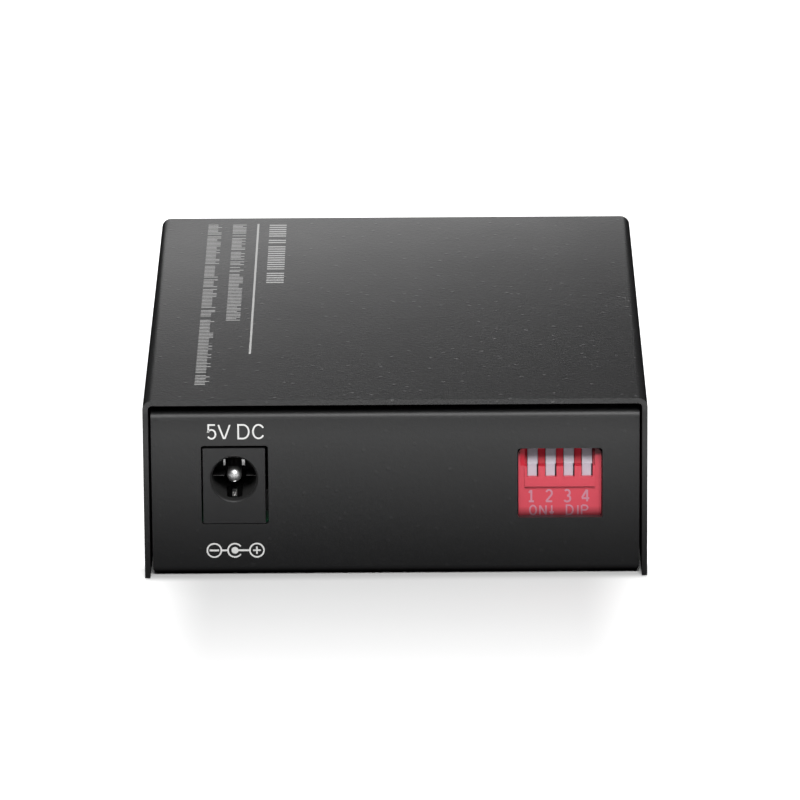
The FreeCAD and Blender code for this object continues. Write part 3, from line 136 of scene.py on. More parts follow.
def white_paper():
    """Glowing floor paper, one brightness to the eye and another to the case, painted darker near
    the case.
    """
    paper = bpy.data.materials.new("white paper")
    paper.use_nodes = True
    tree = paper.node_tree
    tree.nodes.clear()
    matt = add(tree, "ShaderNodeBsdfDiffuse", Color=PAPER_GREY)
    place = add(tree, "ShaderNodeSeparateXYZ",
                Vector=add(tree, "ShaderNodeTexCoord").outputs["Object"])
    sideways = reckon(tree, "ABSOLUTE", place.outputs["X"])
    forwards = reckon(tree, "MULTIPLY", place.outputs["Y"], -1.0)
    out_sides, out_front = (
        add(tree, "ShaderNodeMapRange", Value=distance, From_Min=start, From_Max=end,
            To_Min=0.0, To_Max=1.0).outputs["Result"]
        for distance, (start, end) in ((sideways, SHADE_SIDES), (forwards, SHADE_FRONT)))
    outwards = reckon(tree, "SQRT", reckon(
        tree, "ADD", reckon(tree, "MULTIPLY", out_sides, out_sides),
        reckon(tree, "MULTIPLY", out_front, out_front)))
    burnt = ramp(tree, outwards, 0.0, 1.0, FLOOR_LIFT, BURNT_OUT)
    behind = ramp(tree, forwards, *SHADE_BACK, 1.0, 0.0)
    clear = reckon(tree, "MAXIMUM", ramp(tree, sideways, *UNDER_SIDES, 0.0, 1.0),
                   ramp(tree, reckon(tree, "ABSOLUTE", forwards), *UNDER_ENDS, 0.0, 1.0))
    lift = add(tree, "ShaderNodeEmission", Color=(1, 1, 1, 1),
               Strength=reckon(tree, "MULTIPLY", clear,
                               reckon(tree, "MAXIMUM", burnt, behind)))
    seen = add(tree, "ShaderNodeAddShader")
    tree.links.new(matt.outputs[0], seen.inputs[0])
    tree.links.new(lift.outputs[0], seen.inputs[1])
    # What the case sees is a painted glow in place of bounce light, darker near the panel's foot.
    before = reckon(tree, "SUBTRACT", forwards, PANEL_DISTANCE)
    rising = add(tree, "ShaderNodeMapRange", Value=before, From_Min=0.0, From_Max=BOUNCE_REACH,
                 To_Min=BOUNCE_START, To_Max=1.0)
    rising = reckon(tree, "POWER", rising.outputs["Result"], BOUNCE_CURVE)
    fading = ramp(tree, before, BOUNCE_REACH, 3 * BOUNCE_REACH, BOUNCE, BOUNCE_FAR)
    bounce = reckon(tree, "ADD", reckon(tree, "MULTIPLY", rising, fading),
                    reckon(tree, "MULTIPLY", reckon(tree, "GREATER_THAN", before, 0.0),
                           BOUNCE_NEAR))
    painted_bounce = add(tree, "ShaderNodeEmission", Color=(1, 1, 1, 1), Strength=bounce)
    both = add(tree, "ShaderNodeMixShader",
               Fac=add(tree, "ShaderNodeLightPath").outputs["Is Camera Ray"])
    tree.links.new(painted_bounce.outputs[0], both.inputs[1])
    tree.links.new(seen.outputs[0], both.inputs[2])
    add(tree, "ShaderNodeOutputMaterial", Surface=both.outputs[0])
    return paper


FLOOR_REACH, FLOOR_LEVEL = 3.0, -0.0001
floor_mesh = bpy.data.meshes.new("floor")
floor_mesh.from_pydata([(x * FLOOR_REACH, y * FLOOR_REACH, FLOOR_LEVEL)
                        for x, y in ((-1, -1), (1, -1), (1, 1), (-1, 1))], [], [(0, 1, 2, 3)])
floor = bpy.data.objects.new("floor", floor_mesh)
scene.collection.objects.link(floor)
floor_mesh.materials.append(white_paper())


def soft_box(name, place, target, width, height, power, roll=0.0):
    """A rectangular lamp that faces a target point and doesn't show itself."""
    data = bpy.data.lights.new(name, "AREA")
    data.shape = "RECTANGLE"
    data.size = width
    data.size_y = height
    data.energy = power
    lamp = bpy.data.objects.new(name, data)
    scene.collection.objects.link(lamp)
    lamp.location = place
    facing = (Vector(target) - Vector(place)).to_track_quat("-Z", "Y")
    lamp.rotation_euler = (facing @ Quaternion((0, 0, 1), math.radians(roll))).to_euler()
    lamp.visible_camera = False


soft_box("back light", place=(-0.05, 0.32, 0.95), target=(0, 0, 0.02), width=1.0, height=0.8,
         power=4.4)
soft_box("front light", place=(0.08, -0.78, 0.80), target=(0, 0, 0.01), width=0.5, height=0.5,
         power=16.4)
soft_box("back card", place=(-0.001, 0.088, 0.0374), target=(0.026, 0.005, 0.032), width=0.098,
         height=0.020, power=0.0078, roll=6.0)

# ---------------------------------------------------------------------------------------------
# Folded case
# Base and cover are sheet steel with a matt black powder coat: a fine orange peel, stronger on
# the lid, with small raised blisters whose pale colour is a painted highlight, and rougher where
# the rear panel folds under the lid.
# ---------------------------------------------------------------------------------------------


def new_group(name, inputs, outputs):
    """A shader node group with float inputs and the given outputs."""
    group = bpy.data.node_groups.new(name, "ShaderNodeTree")
    for label, size in inputs:
        socket = group.interface.new_socket(label, in_out="INPUT", socket_type="NodeSocketFloat")
        socket.default_value = size
    for label, kind in outputs:
        group.interface.new_socket(label, in_out="OUTPUT", socket_type="NodeSocket" + kind)
    return group, group.nodes.new("NodeGroupInput"), group.nodes.new("NodeGroupOutput")


PEEL_HEIGHT, BLISTER_HEIGHT = 0.0001, 0.00012
BLISTER_EDGE = (0.06, 0.19)
BARE_CELLS = 0.25


def paint_grain_group():
    """Orange peel and blisters as a normal, a cloudy tone and a mask of the blisters."""
    group, given, result = new_group(
        "paint grain", [("Grain", 5000.0), ("Depth", 0.2), ("Blisters", 520.0), ("Rise", 0.0)],
        [("Normal", "Vector"), ("Tone", "Float"), ("Blister", "Float")])
    place = add(group, "ShaderNodeTexCoord").outputs["Object"]
    fine = add(group, "ShaderNodeTexNoise", Vector=place, Scale=given.outputs["Grain"],
               Detail=3.0, Roughness=0.65)
    peel = add(group, "ShaderNodeBump", Height=fine.outputs["Fac"],
               Strength=given.outputs["Depth"], Distance=PEEL_HEIGHT)
    cells = add(group, "ShaderNodeTexVoronoi", {"feature": "F1"}, Vector=place,
                Scale=given.outputs["Blisters"], Randomness=1.0)
    dome = ramp(group, cells.outputs["Distance"], *BLISTER_EDGE, 1.0, 0.0)
    pick = add(group, "ShaderNodeSeparateColor", Color=cells.outputs["Color"])
    some = reckon(group, "GREATER_THAN", pick.outputs["Red"], BARE_CELLS)
    blister = reckon(group, "MULTIPLY", dome, some)
    raised = add(group, "ShaderNodeBump", Height=blister, Strength=given.outputs["Rise"],
                 Distance=BLISTER_HEIGHT, Normal=peel.outputs["Normal"])
    cloudy = add(group, "ShaderNodeTexNoise", Vector=place, Scale=60.0, Detail=4.0, Roughness=0.6)
    group.links.new(raised.outputs["Normal"], result.inputs["Normal"])
    group.links.new(cloudy.outputs["Fac"], result.inputs["Tone"])
    group.links.new(blister, result.inputs["Blister"])
    return group


paint_grain = paint_grain_group()


def new_material(name, colour, roughness, metallic=0.0):
    """A material with its tree and its shader, and plain values on the shader."""
    material = bpy.data.materials.new(name)
    material.use_nodes = True
    shader = material.node_tree.nodes["Principled BSDF"]
    shader.inputs["Base Color"].default_value = (*colour, 1.0)
    shader.inputs["Roughness"].default_value = roughness
    shader.inputs["Metallic"].default_value = metallic
    return material, material.node_tree, shader


def mix_colours(tree, mask, low, high):
    """A colour between two, by a mask."""
    blend = add(tree, "ShaderNodeMix", {"data_type": "RGBA"})
    blend.inputs["A"].default_value = (*low, 1.0)
    blend.inputs["B"].default_value = (*high, 1.0)
    tree.links.new(mask, blend.inputs["Factor"])
    return blend.outputs["Result"]


def spread(tree, mask, low, high):
    """A mask from 0 to 1 turned to a range."""
    return add(tree, "ShaderNodeMapRange", Value=mask, To_Min=low, To_Max=high).outputs["Result"]


# The blisters are raised by a bump; their paler grey, mostly on the lid, is a painted highlight.
COAT_BLACK, PAINTED_GLINT_GREY = (0.0065, 0.0065, 0.0069), (0.04, 0.04, 0.04)
COAT_ROUGHNESS = (0.33, 0.39)
LID_FROM, LID_EDGE = 24.5 * MM, 24.2 * MM
PANEL_FROM = -44 * MM
PANEL_BEND, BEND_ROUGHER = (20 * MM, 23.5 * MM), 0.14
# Each pair is for the other faces and for the lid.
PEEL_DEPTHS, BLISTER_RISES, PAINTED_GLINT_SHARES = (0.17, 0.5), (0.08, 0.3), (0.1, 1.0)


def powder_coat():
    """Black coat that tells the lid by its height and the rear panel by its place."""
    material, tree, shader = new_material("black powder coat", COAT_BLACK, COAT_ROUGHNESS[0])
    place = add(tree, "ShaderNodeSeparateXYZ",
                Vector=add(tree, "ShaderNodeTexCoord").outputs["Object"])
    on_lid = reckon(tree, "GREATER_THAN", place.outputs["Z"], LID_FROM)
    grain = add(tree, "ShaderNodeGroup", {"node_tree": paint_grain}, Grain=1900.0,
                Depth=spread(tree, on_lid, *PEEL_DEPTHS), Blisters=520.0,
                Rise=spread(tree, on_lid, *BLISTER_RISES))
    painted_glint = reckon(tree, "MULTIPLY", grain.outputs["Blister"],
                   spread(tree, on_lid, *PAINTED_GLINT_SHARES))
    tree.links.new(mix_colours(tree, painted_glint, COAT_BLACK, PAINTED_GLINT_GREY),
                   shader.inputs["Base Color"])
    on_panel = reckon(tree, "LESS_THAN", place.outputs["Y"], PANEL_FROM)
    at_bend = reckon(tree, "MULTIPLY", on_panel,
                     ramp(tree, place.outputs["Z"], *PANEL_BEND, 0.0, 1.0))
    below_lid = reckon(tree, "LESS_THAN", place.outputs["Z"], LID_EDGE)
    softer = reckon(tree, "MULTIPLY", reckon(tree, "MULTIPLY", at_bend, below_lid),
                    BEND_ROUGHER)
    even = spread(tree, grain.outputs["Tone"], *COAT_ROUGHNESS)
    tree.links.new(reckon(tree, "ADD", even, softer), shader.inputs["Roughness"])
    tree.links.new(grain.outputs["Normal"], shader.inputs["Normal"])
    return material


def dress(material, *names):
    """Give CAD nodes a material in place of their first one."""
    for name in names:
        nodes[name].material_slots[0].material = material


dress(powder_coat(), "base_chassis", "top_cover")

# ---------------------------------------------------------------------------------------------
# Cover screws
# Four countersunk screws of blackened steel with cross recesses, two through each side of the
# cover, their heads flush with it.
# ---------------------------------------------------------------------------------------------


MARKS_SCALE, MARKS_SMOOTHER, MARKS_ROUGHER, MARKS_DULL = 900.0, 0.08, 0.1, 0.8


def plated(name, colour, roughness):
    """Bare or plated metal with faint drawing marks."""
    material, tree, shader = new_material(name, colour, roughness, metallic=1.0)
    place = add(tree, "ShaderNodeTexCoord").outputs["Object"]
    marks = add(tree, "ShaderNodeTexNoise", Vector=place, Scale=MARKS_SCALE, Detail=4.0,
                Roughness=0.6)
    tree.links.new(spread(tree, marks.outputs["Fac"], roughness - MARKS_SMOOTHER,
                          roughness + MARKS_ROUGHER), shader.inputs["Roughness"])
    dull = tuple(MARKS_DULL * part for part in colour)
    tree.links.new(mix_colours(tree, marks.outputs["Fac"], dull, colour),
                   shader.inputs["Base Color"])
    return material


def new_growth(name, inputs):
    """A geometry tree with inputs given as (name, kind, default), and its two ends."""
    tree = bpy.data.node_groups.new(name, "GeometryNodeTree")
    for label, kind, value in inputs:
        socket = tree.interface.new_socket(label, in_out="INPUT", socket_type="NodeSocket" + kind)
        if value is not None:
            socket.default_value = value
    tree.interface.new_socket("Geometry", in_out="OUTPUT", socket_type="NodeSocketGeometry")
    return tree, tree.nodes.new("NodeGroupInput").outputs, tree.nodes.new("NodeGroupOutput")


def grow(name, tree, values, body="case"):
    """A plain mesh grown by a geometry tree, riding on a body."""
    piece = bpy.data.objects.new(name, bpy.data.meshes.new(name))
    scene.collection.objects.link(piece)
    growth = piece.modifiers.new("growth", "NODES")
    growth.node_group = tree
    for item in tree.interface.items_tree:
        if item.in_out == "INPUT" and item.name in values:
            growth[item.identifier] = values[item.name]
    reached = bpy.context.evaluated_depsgraph_get()
    mesh = bpy.data.meshes.new_from_object(piece.evaluated_get(reached), depsgraph=reached)
    mesh.name = name
    piece.modifiers.remove(growth)
    piece.data = mesh
    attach(piece, body)
    return piece


THREAD_SHARE, RECESS_REACH = 0.95, 1.15


def screws_tree():
    """Countersunk cross-recess screws at the corners of an upright grid, pointing outwards."""
    tree, given, result = new_growth("cover screws", [
        ("Between Sides", "Float", 0.0705), ("Between Ends", "Float", 0.056),
        ("Height", "Float", 0.0036), ("Head Radius", "Float", 0.0026),
        ("Thread Radius", "Float", 0.0015), ("Length", "Float", 0.004),
        ("Recess Width", "Float", 0.0007), ("Recess Depth", "Float", 0.001),
        ("Finish", "Material", None)])
    rim = reckon(tree, "SUBTRACT", given["Head Radius"], given["Thread Radius"])
    head = add(tree, "GeometryNodeMeshCone", Vertices=48, Radius_Top=given["Head Radius"],
               Radius_Bottom=given["Thread Radius"], Depth=rim)
    drop = add(tree, "ShaderNodeCombineXYZ", Z=reckon(tree, "MULTIPLY", rim, -1.0))
    head = add(tree, "GeometryNodeTransform", Geometry=head.outputs["Mesh"],
               Translation=drop.outputs[0])
    shank_length = reckon(tree, "SUBTRACT", given["Length"], reckon(tree, "MULTIPLY", rim, 0.5))
    shank = add(tree, "GeometryNodeMeshCylinder", Vertices=32, Depth=shank_length,
                Radius=reckon(tree, "MULTIPLY", given["Thread Radius"], THREAD_SHARE))
    middle = reckon(tree, "SUBTRACT", reckon(tree, "MULTIPLY", shank_length, 0.5), given["Length"])
    lower = add(tree, "ShaderNodeCombineXYZ", Z=middle)
    shank = add(tree, "GeometryNodeTransform", Geometry=shank.outputs["Mesh"],
                Translation=lower.outputs[0])
    whole = add(tree, "GeometryNodeMeshBoolean", {"operation": "UNION"})
    for part in (shank, head):
        tree.links.new(part.outputs[0], whole.inputs["Mesh 2"])
    cut = add(tree, "GeometryNodeMeshBoolean", {"operation": "DIFFERENCE"})
    tree.links.new(whole.outputs["Mesh"], cut.inputs["Mesh 1"])
    reach = reckon(tree, "MULTIPLY", given["Head Radius"], RECESS_REACH)
    deep = reckon(tree, "MULTIPLY", given["Recess Depth"], 2.0)
    for wide, tall in ((reach, given["Recess Width"]), (given["Recess Width"], reach)):
        size = add(tree, "ShaderNodeCombineXYZ", X=wide, Y=tall, Z=deep)
        arm = add(tree, "GeometryNodeMeshCube", Size=size.outputs[0])
        tree.links.new(arm.outputs["Mesh"], cut.inputs["Mesh 2"])
    corners = add(tree, "GeometryNodeMeshGrid", Size_X=given["Between Sides"],
                  Size_Y=given["Between Ends"], Vertices_X=2, Vertices_Y=2)
    lift = add(tree, "ShaderNodeCombineXYZ", Z=given["Height"])
    corners = add(tree, "GeometryNodeTransform", Geometry=corners.outputs["Mesh"],
                  Translation=lift.outputs[0])
    side = add(tree, "ShaderNodeSeparateXYZ",
               Vector=add(tree, "GeometryNodeInputPosition").outputs[0])
    lean = reckon(tree, "MULTIPLY", reckon(tree, "SIGN", side.outputs["X"]), math.pi / 2)
    turn = add(tree, "ShaderNodeCombineXYZ", Y=lean)
    placed = add(tree, "GeometryNodeInstanceOnPoints", Points=corners.outputs[0],
                 Instance=cut.outputs["Mesh"], Rotation=turn.outputs[0])
    solid = add(tree, "GeometryNodeRealizeInstances", Geometry=placed.outputs[0])
    done = add(tree, "GeometryNodeSetMaterial", Geometry=solid.outputs[0],
               Material=given["Finish"])
    tree.links.new(done.outputs[0], result.inputs["Geometry"])
    return tree


screw_low, screw_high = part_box("cover_screws")
HEAD_RADIUS = 2.55 * MM
black_steel = plated("black oxide", (0.045, 0.045, 0.047), roughness=0.38)
cover_screws = grow("cover_screw_set", screws_tree(), {
    "Between Sides": screw_high.x - screw_low.x,
    "Between Ends": screw_high.y - screw_low.y - 2 * HEAD_RADIUS,
    "Height": (screw_low.z + screw_high.z) / 2, "Head Radius": HEAD_RADIUS,
    "Finish": black_steel})
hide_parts("cover_screws")

# ---------------------------------------------------------------------------------------------
# Print on the rear panel
# White screen print, about a hundredth of a millimetre thick: the supply's rating above the
# inlet and its polarity below.
# ---------------------------------------------------------------------------------------------

INK = 0.012 * MM
INK_ROUGHNESS, INK_GRAIN, INK_DULL = 0.6, 9000.0, 0.9


def ink(name, colour):
    """Matt screen ink with a fine grain."""
    material, tree, shader = new_material(name, colour, INK_ROUGHNESS)
    grain = add(tree, "ShaderNodeGroup", {"node_tree": paint_grain}, Grain=INK_GRAIN, Depth=0.2)
    dull = tuple(INK_DULL * part for part in colour)
    tree.links.new(mix_colours(tree, grain.outputs["Tone"], dull, colour),
                   shader.inputs["Base Color"])
    tree.links.new(grain.outputs["Normal"], shader.inputs["Normal"])
    return material


white_ink = ink("white print", (0.66, 0.66, 0.65))


def arc(middle, radius, start, end, steps=16):
    """Points along an arc, with angles in degrees."""
    return [(middle[0] + radius[0] * math.cos(math.radians(start + (end - start) * n / steps)),
             middle[1] + radius[1] * math.sin(math.radians(start + (end - start) * n / steps)))
            for n in range(steps + 1)]


def ring(middle, radius, steps=24):
    """Points once round a circle, the last one short of the first."""
    return arc(middle, (radius, radius), 0, 360 - 360 / steps, steps - 1)


def moved(points, right, up, wide, tall):
    """Points of a unit square stretched and moved to their place."""
    return [(right + wide * x, up + tall * y) for x, y in points]


SHARPEST_MITRE = 0.4


def stroke(points, width, closed=False):
    """Left and right edge of a line of print through points, with mitred corners."""
    edges = []
    count = len(points)
    for n, here in enumerate(points):
        before = points[(n - 1) % count] if closed or n else None
        after = points[(n + 1) % count] if closed or n < count - 1 else None
        steps = [(Vector(b) - Vector(a)).normalized()
                 for a, b in ((before, here), (here, after)) if a is not None and b is not None]
        along = sum(steps, Vector((0, 0))).normalized()
        side = Vector((-along.y, along.x))
        reach = width / 2 / max(SHARPEST_MITRE, abs(side.dot(Vector((-steps[0].y, steps[0].x)))))
        edges.append((Vector(here) + side * reach, Vector(here) - side * reach))
    return edges


# Lines that cross get slightly different heights, so that no two faces coincide.
LEVELS, LEVEL_STEP = 5, 0.06


def printed(name, lines, place, material, body="case"):
    """Thin solids of ink along lines given as (points, width, closed), laid on a surface."""
    vertices, faces = [], []
    for layer, (points, width, closed) in enumerate(lines):
        edges = stroke(points, width, closed)
        first = len(vertices)
        top = INK * (1 - LEVEL_STEP * (layer % LEVELS))
        for left, right in edges:
            for side, height in ((left, -INK), (right, -INK), (right, top), (left, top)):
                vertices.append(place @ Vector((side.x, side.y, height)))
        count = len(edges)
        for n in range(count if closed else count - 1):
            a, b = first + 4 * n, first + 4 * ((n + 1) % count)
            for k in range(4):
                faces.append((a + k, a + (k + 1) % 4, b + (k + 1) % 4, b + k))
        if not closed:
            faces.append((first + 3, first + 2, first + 1, first))
            last = first + 4 * (count - 1)
            faces.append((last, last + 1, last + 2, last + 3))
    mesh = bpy.data.meshes.new(name)
    mesh.from_pydata(vertices, [], faces)
    mesh.materials.append(material)
    piece = bpy.data.objects.new(name, mesh)
    scene.collection.objects.link(piece)
    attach(piece, body)
    return piece


# On the print, x runs to the right and y up, in millimetres.
rear = (Matrix.Translation((0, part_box("base_chassis")[0].y, 0))
        @ Matrix.Rotation(math.radians(90), 4, "X") @ Matrix.Diagonal((MM, MM, 1, 1)))


def rating():
    """5V DC in plain strokes: each sign with its left edge, its width and whether it closes."""
    line, foot, tall = 0.235, 20.06, 2.0
    five = [(0.90, 1), (0.12, 1), (0.10, 0.50)] + arc((0.47, 0.32), (0.47, 0.33), 146, -148, 14)
    letter_v = [(0, 1), (0.44, 0.03), (0.56, 0.03), (1, 1)]
    letter_d = [(0, 0), (0, 1)] + arc((0.42, 0.5), (0.5, 0.5), 90, -90, 14)
    letter_c = arc((0.5, 0.5), (0.5, 0.5), 33, 327, 22)
    return [(moved(sign, left, foot, wide, tall), line, closed) for sign, left, wide, closed in (
        (five, -26.24, 1.2, False), (letter_v, -24.70, 1.6, False),
        (letter_d, -21.93, 1.6, True), (letter_c, -19.87, 1.55, False))]


def polarity():
    """Negative sleeve and positive centre: three rings joined by lines, with their signs."""
    up, line, bold, radius = 3.62, 0.22, 0.27, 0.99
    left, middle, right = -25.50, -22.60, -19.52
    minus, plus, clear, from_dot = 0.66, 0.54, 1.06, 0.4
    dot_radius, dot_line = 0.25, 0.48
    return [(ring((left, up), radius), line, True),
            (ring((right, up), radius), line, True),
            (arc((middle, up), (radius, radius), 36, 324, 20), line, False),
            ([(left - minus, up), (left + minus, up)], bold, False),
            ([(right - plus, up), (right + plus, up)], line, False),
            ([(right, up - plus), (right, up + plus)], line, False),
            ([(left + clear, up), (middle - clear, up)], bold, False),
            ([(middle + from_dot, up), (right - clear, up)], bold, False),
            (ring((middle, up), dot_radius, 14), dot_line, True)]


printed("supply_rating", rating(), rear, white_ink)
printed("polarity_symbol", polarity(), rear, white_ink)

# ---------------------------------------------------------------------------------------------
# Print on the lid
# A thin white rule with three lines of plain strokes beside it, as filling for lines of print.
# They run along the lid, at its left when seen from the rear.
# ---------------------------------------------------------------------------------------------

# Here x runs towards the rear panel and y across the lid, in millimetres.
lid = (Matrix.Translation((0, 0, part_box("top_cover")[1].z))
       @ Matrix.Rotation(math.radians(-90), 4, "Z") @ Matrix.Diagonal((MM, MM, 1, 1)))
LID_INK = 0.004 * MM
# The lid's print is the panel's white ink made darker: painted shade against the lid's stronger
# light.
lid_ink = ink("lid print", (0.42, 0.42, 0.415))
lid_inner = lid @ Matrix.Translation((0, 0, LID_INK - INK))


LOW_STROKES, LOW_SEED = 0.27, 7.0


def strokes_tree():
    """Upright strokes in a row with gaps between groups, of two heights."""
    tree, given, result = new_growth("line of plain strokes", [
        ("Count", "Int", 40), ("Pitch", "Float", 0.8), ("Stroke", "Float", 0.3),
        ("Height", "Float", 2.0), ("Low Share", "Float", 0.6), ("Gap Share", "Float", 0.13),
        ("Ink", "Float", 0.00001), ("Seed", "Int", 1), ("Finish", "Material", None)])
    step = add(tree, "ShaderNodeCombineXYZ", X=given["Pitch"])
    row = add(tree, "GeometryNodeMeshLine", {"mode": "OFFSET"}, Count=given["Count"],
              Offset=step.outputs[0])
    gap = add(tree, "FunctionNodeRandomValue", {"data_type": "BOOLEAN"},
              Probability=given["Gap Share"], Seed=given["Seed"])
    kept = add(tree, "GeometryNodeDeleteGeometry", {"domain": "POINT"},
               Geometry=row.outputs["Mesh"])
    chosen = [out for out in gap.outputs if out.enabled][0]
    tree.links.new(chosen, kept.inputs["Selection"])
    low = add(tree, "FunctionNodeRandomValue", {"data_type": "BOOLEAN"},
              Probability=given["Low Share"], Seed=reckon(tree, "ADD", given["Seed"], LOW_SEED))
    is_low = [out for out in low.outputs if out.enabled][0]
    tall = reckon(tree, "SUBTRACT", 1.0, reckon(tree, "MULTIPLY", is_low, LOW_STROKES))
    size = add(tree, "ShaderNodeCombineXYZ", X=given["Stroke"],
               Y=reckon(tree, "MULTIPLY", tall, given["Height"]), Z=given["Ink"])
    bar = add(tree, "GeometryNodeMeshCube", Size=(1.0, 1.0, 1.0))
    foot = add(tree, "GeometryNodeTransform", Geometry=bar.outputs["Mesh"],
               Translation=(0.5, 0.5, 0.0))
    placed = add(tree, "GeometryNodeInstanceOnPoints", Points=kept.outputs[0],
                 Instance=foot.outputs[0], Scale=size.outputs[0])
    solid = add(tree, "GeometryNodeRealizeInstances", Geometry=placed.outputs[0])
    done = add(tree, "GeometryNodeSetMaterial", Geometry=solid.outputs[0],
               Material=given["Finish"])
    tree.links.new(done.outputs[0], result.inputs["Geometry"])
    return tree


# Places along the lid are distances from its rear edge, in millimetres.
REAR_EDGE = 46.75
RULE_FAR, RULE_NEAR, RULE_ACROSS, RULE_WIDTH = 90.3, 22.5, -20.65, 0.3
printed("lid_rule", [([(REAR_EDGE - RULE_FAR, RULE_ACROSS), (REAR_EDGE - RULE_NEAR, RULE_ACROSS)],
                      RULE_WIDTH, False)], lid_inner, lid_ink)
plain_strokes = strokes_tree()
for name, far, near, foot, values in (
        ("lid_bold_line", 89.8, 57.8, -18.95, {"Pitch": 1.18, "Stroke": 0.56, "Height": 2.55,
                                               "Low Share": 0.0, "Gap Share": 0.12, "Seed": 4}),
        ("lid_middle_line", 89.9, 38.6, -24.45, {"Pitch": 0.74, "Stroke": 0.27, "Height": 2.05,
                                                 "Low Share": 0.3, "Gap Share": 0.10, "Seed": 5}),
        ("lid_long_line", 90.0, 7.0, -28.15, {"Pitch": 0.72, "Stroke": 0.26, "Height": 2.05,
                                              "Low Share": 0.68, "Gap Share": 0.11, "Seed": 9})):
    line = grow(name, plain_strokes, {
        "Count": int((far - near) / values["Pitch"]), "Ink": 2 * LID_INK, "Finish": lid_ink,
        **values})
    line.data.transform(lid @ Matrix.Translation((REAR_EDGE - far, foot, 0)))

# ---------------------------------------------------------------------------------------------
# Power inlet
# A barrel socket of black plastic, matt, with painted shade inside its bore, a turned centre pin
# and sprung leaves of tinned bronze that grip the plug.
# ---------------------------------------------------------------------------------------------


MOULD_GRAIN, MOULD_DULL, MOULD_SPREAD = 7000.0, 0.86, 0.06


def moulding(name, colour, roughness, depth=0.12, gloss=0.5):
    """Moulded plastic with a faint spark-eroded grain."""
    material, tree, shader = new_material(name, colour, roughness)
    grain = add(tree, "ShaderNodeGroup", {"node_tree": paint_grain}, Grain=MOULD_GRAIN,
                Depth=depth)
    dull = tuple(MOULD_DULL * part for part in colour)
    tree.links.new(mix_colours(tree, grain.outputs["Tone"], dull, colour),
                   shader.inputs["Base Color"])
    tree.links.new(spread(tree, grain.outputs["Tone"], roughness - MOULD_SPREAD,
                          roughness + MOULD_SPREAD), shader.inputs["Roughness"])
    tree.links.new(grain.outputs["Normal"], shader.inputs["Normal"])
    shader.inputs["Specular IOR Level"].default_value = gloss
    return material


def feed_instead(tree, source, socket):
    """Feed a shader's input from a new source, without the node that fed it before."""
    tree.nodes.remove(socket.links[0].from_node)
    tree.links.new(source, socket)


# A much darker copy of the tin plate: on the blades deep in the bore its darkness is painted
# shade.
dark_tin = plated("dark tin", (0.12, 0.12, 0.12), roughness=0.5)
dress(dark_tin, "dc_jack_switch_contact")
tin = plated("tin plate", (0.80, 0.80, 0.79), roughness=0.22)

jack_low, jack_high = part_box("dc_jack_housing")
pin_low, pin_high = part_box("dc_jack_pin")
leaf_low, leaf_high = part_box("dc_jack_sleeve_contact")
BORE_HEIGHT, BORE_EDGE = 6.5 * MM, (3.2 * MM, 3.35 * MM)
JACK_AXIS_X = (jack_low.x + jack_high.x) / 2
JACK_AXIS_Z = jack_low.z + BORE_HEIGHT
FACE_BLACK, FACE_ROUGHNESS = (0.0075, 0.0075, 0.008), 0.42
# The darker black inside the bore is painted shade; the bore is rougher as well.
BORE_SHADE_BLACK, BORE_ROUGHNESS = (0.001, 0.001, 0.001), 0.85


def inlet_moulding():
    """Black moulding, matt, with painted shade darkening the inside of the bore."""
    material = moulding("black moulding", FACE_BLACK, FACE_ROUGHNESS)
    tree = material.node_tree
    shader = tree.nodes["Principled BSDF"]
    place = add(tree, "ShaderNodeSeparateXYZ",
                Vector=add(tree, "ShaderNodeTexCoord").outputs["Object"])
    across = reckon(tree, "SUBTRACT", place.outputs["X"], JACK_AXIS_X)
    up = reckon(tree, "SUBTRACT", place.outputs["Z"], JACK_AXIS_Z)
    radius = reckon(tree, "SQRT", reckon(tree, "ADD", reckon(tree, "MULTIPLY", across, across),
                                         reckon(tree, "MULTIPLY", up, up)))
    outside = ramp(tree, radius, *BORE_EDGE, 0.0, 1.0)
    feed_instead(tree, mix_colours(tree, outside, BORE_SHADE_BLACK, FACE_BLACK),
                 shader.inputs["Base Color"])
    feed_instead(tree, spread(tree, outside, BORE_ROUGHNESS, FACE_ROUGHNESS),
                 shader.inputs["Roughness"])
    return material


dress(inlet_moulding(), "dc_jack_housing")


def solid_piece(name, vertices, faces, material, slot, body="case", smooth=False):
    """A piece from vertices and faces, riding on a body."""
    mesh = bpy.data.meshes.new(name)
    mesh.from_pydata(vertices, [], faces)
    mesh.materials.append(material)
    for face in mesh.polygons:
        face.use_smooth = smooth
    piece = bpy.data.objects.new(name, mesh)
    scene.collection.objects.link(piece)
    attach(piece, body)
    return piece


def turned(profile, middle_x, middle_z, sides=40):
    """Vertices and faces of a turned part along Y, from (y, radius) pairs from front to back."""
    vertices, faces = [], []
    for along, radius in profile:
        for n in range(sides):
            angle = 2 * math.pi * n / sides
            vertices.append((middle_x + radius * math.cos(angle), along,
                             middle_z + radius * math.sin(angle)))
    for k in range(len(profile) - 1):
        for n in range(sides):
            a, b = k * sides + n, k * sides + (n + 1) % sides
            faces.append((a, b, b + sides, a + sides))
    faces.append(tuple(reversed(range(sides))))
    last = (len(profile) - 1) * sides
    faces.append(tuple(range(last, last + sides)))
    return vertices, faces


def box_faces(low, high, first):
    """Vertices and faces of a plain block, as a part of a larger piece."""
    (x0, y0, z0), (x1, y1, z1) = low, high
    vertices = [(x0, y0, z0), (x1, y0, z0), (x1, y1, z0), (x0, y1, z0),
                (x0, y0, z1), (x1, y0, z1), (x1, y1, z1), (x0, y1, z1)]
    faces = [(0, 3, 2, 1), (4, 5, 6, 7), (0, 1, 5, 4), (1, 2, 6, 5), (2, 3, 7, 6), (3, 0, 4, 7)]
    return vertices, [tuple(first + n for n in face) for face in faces]


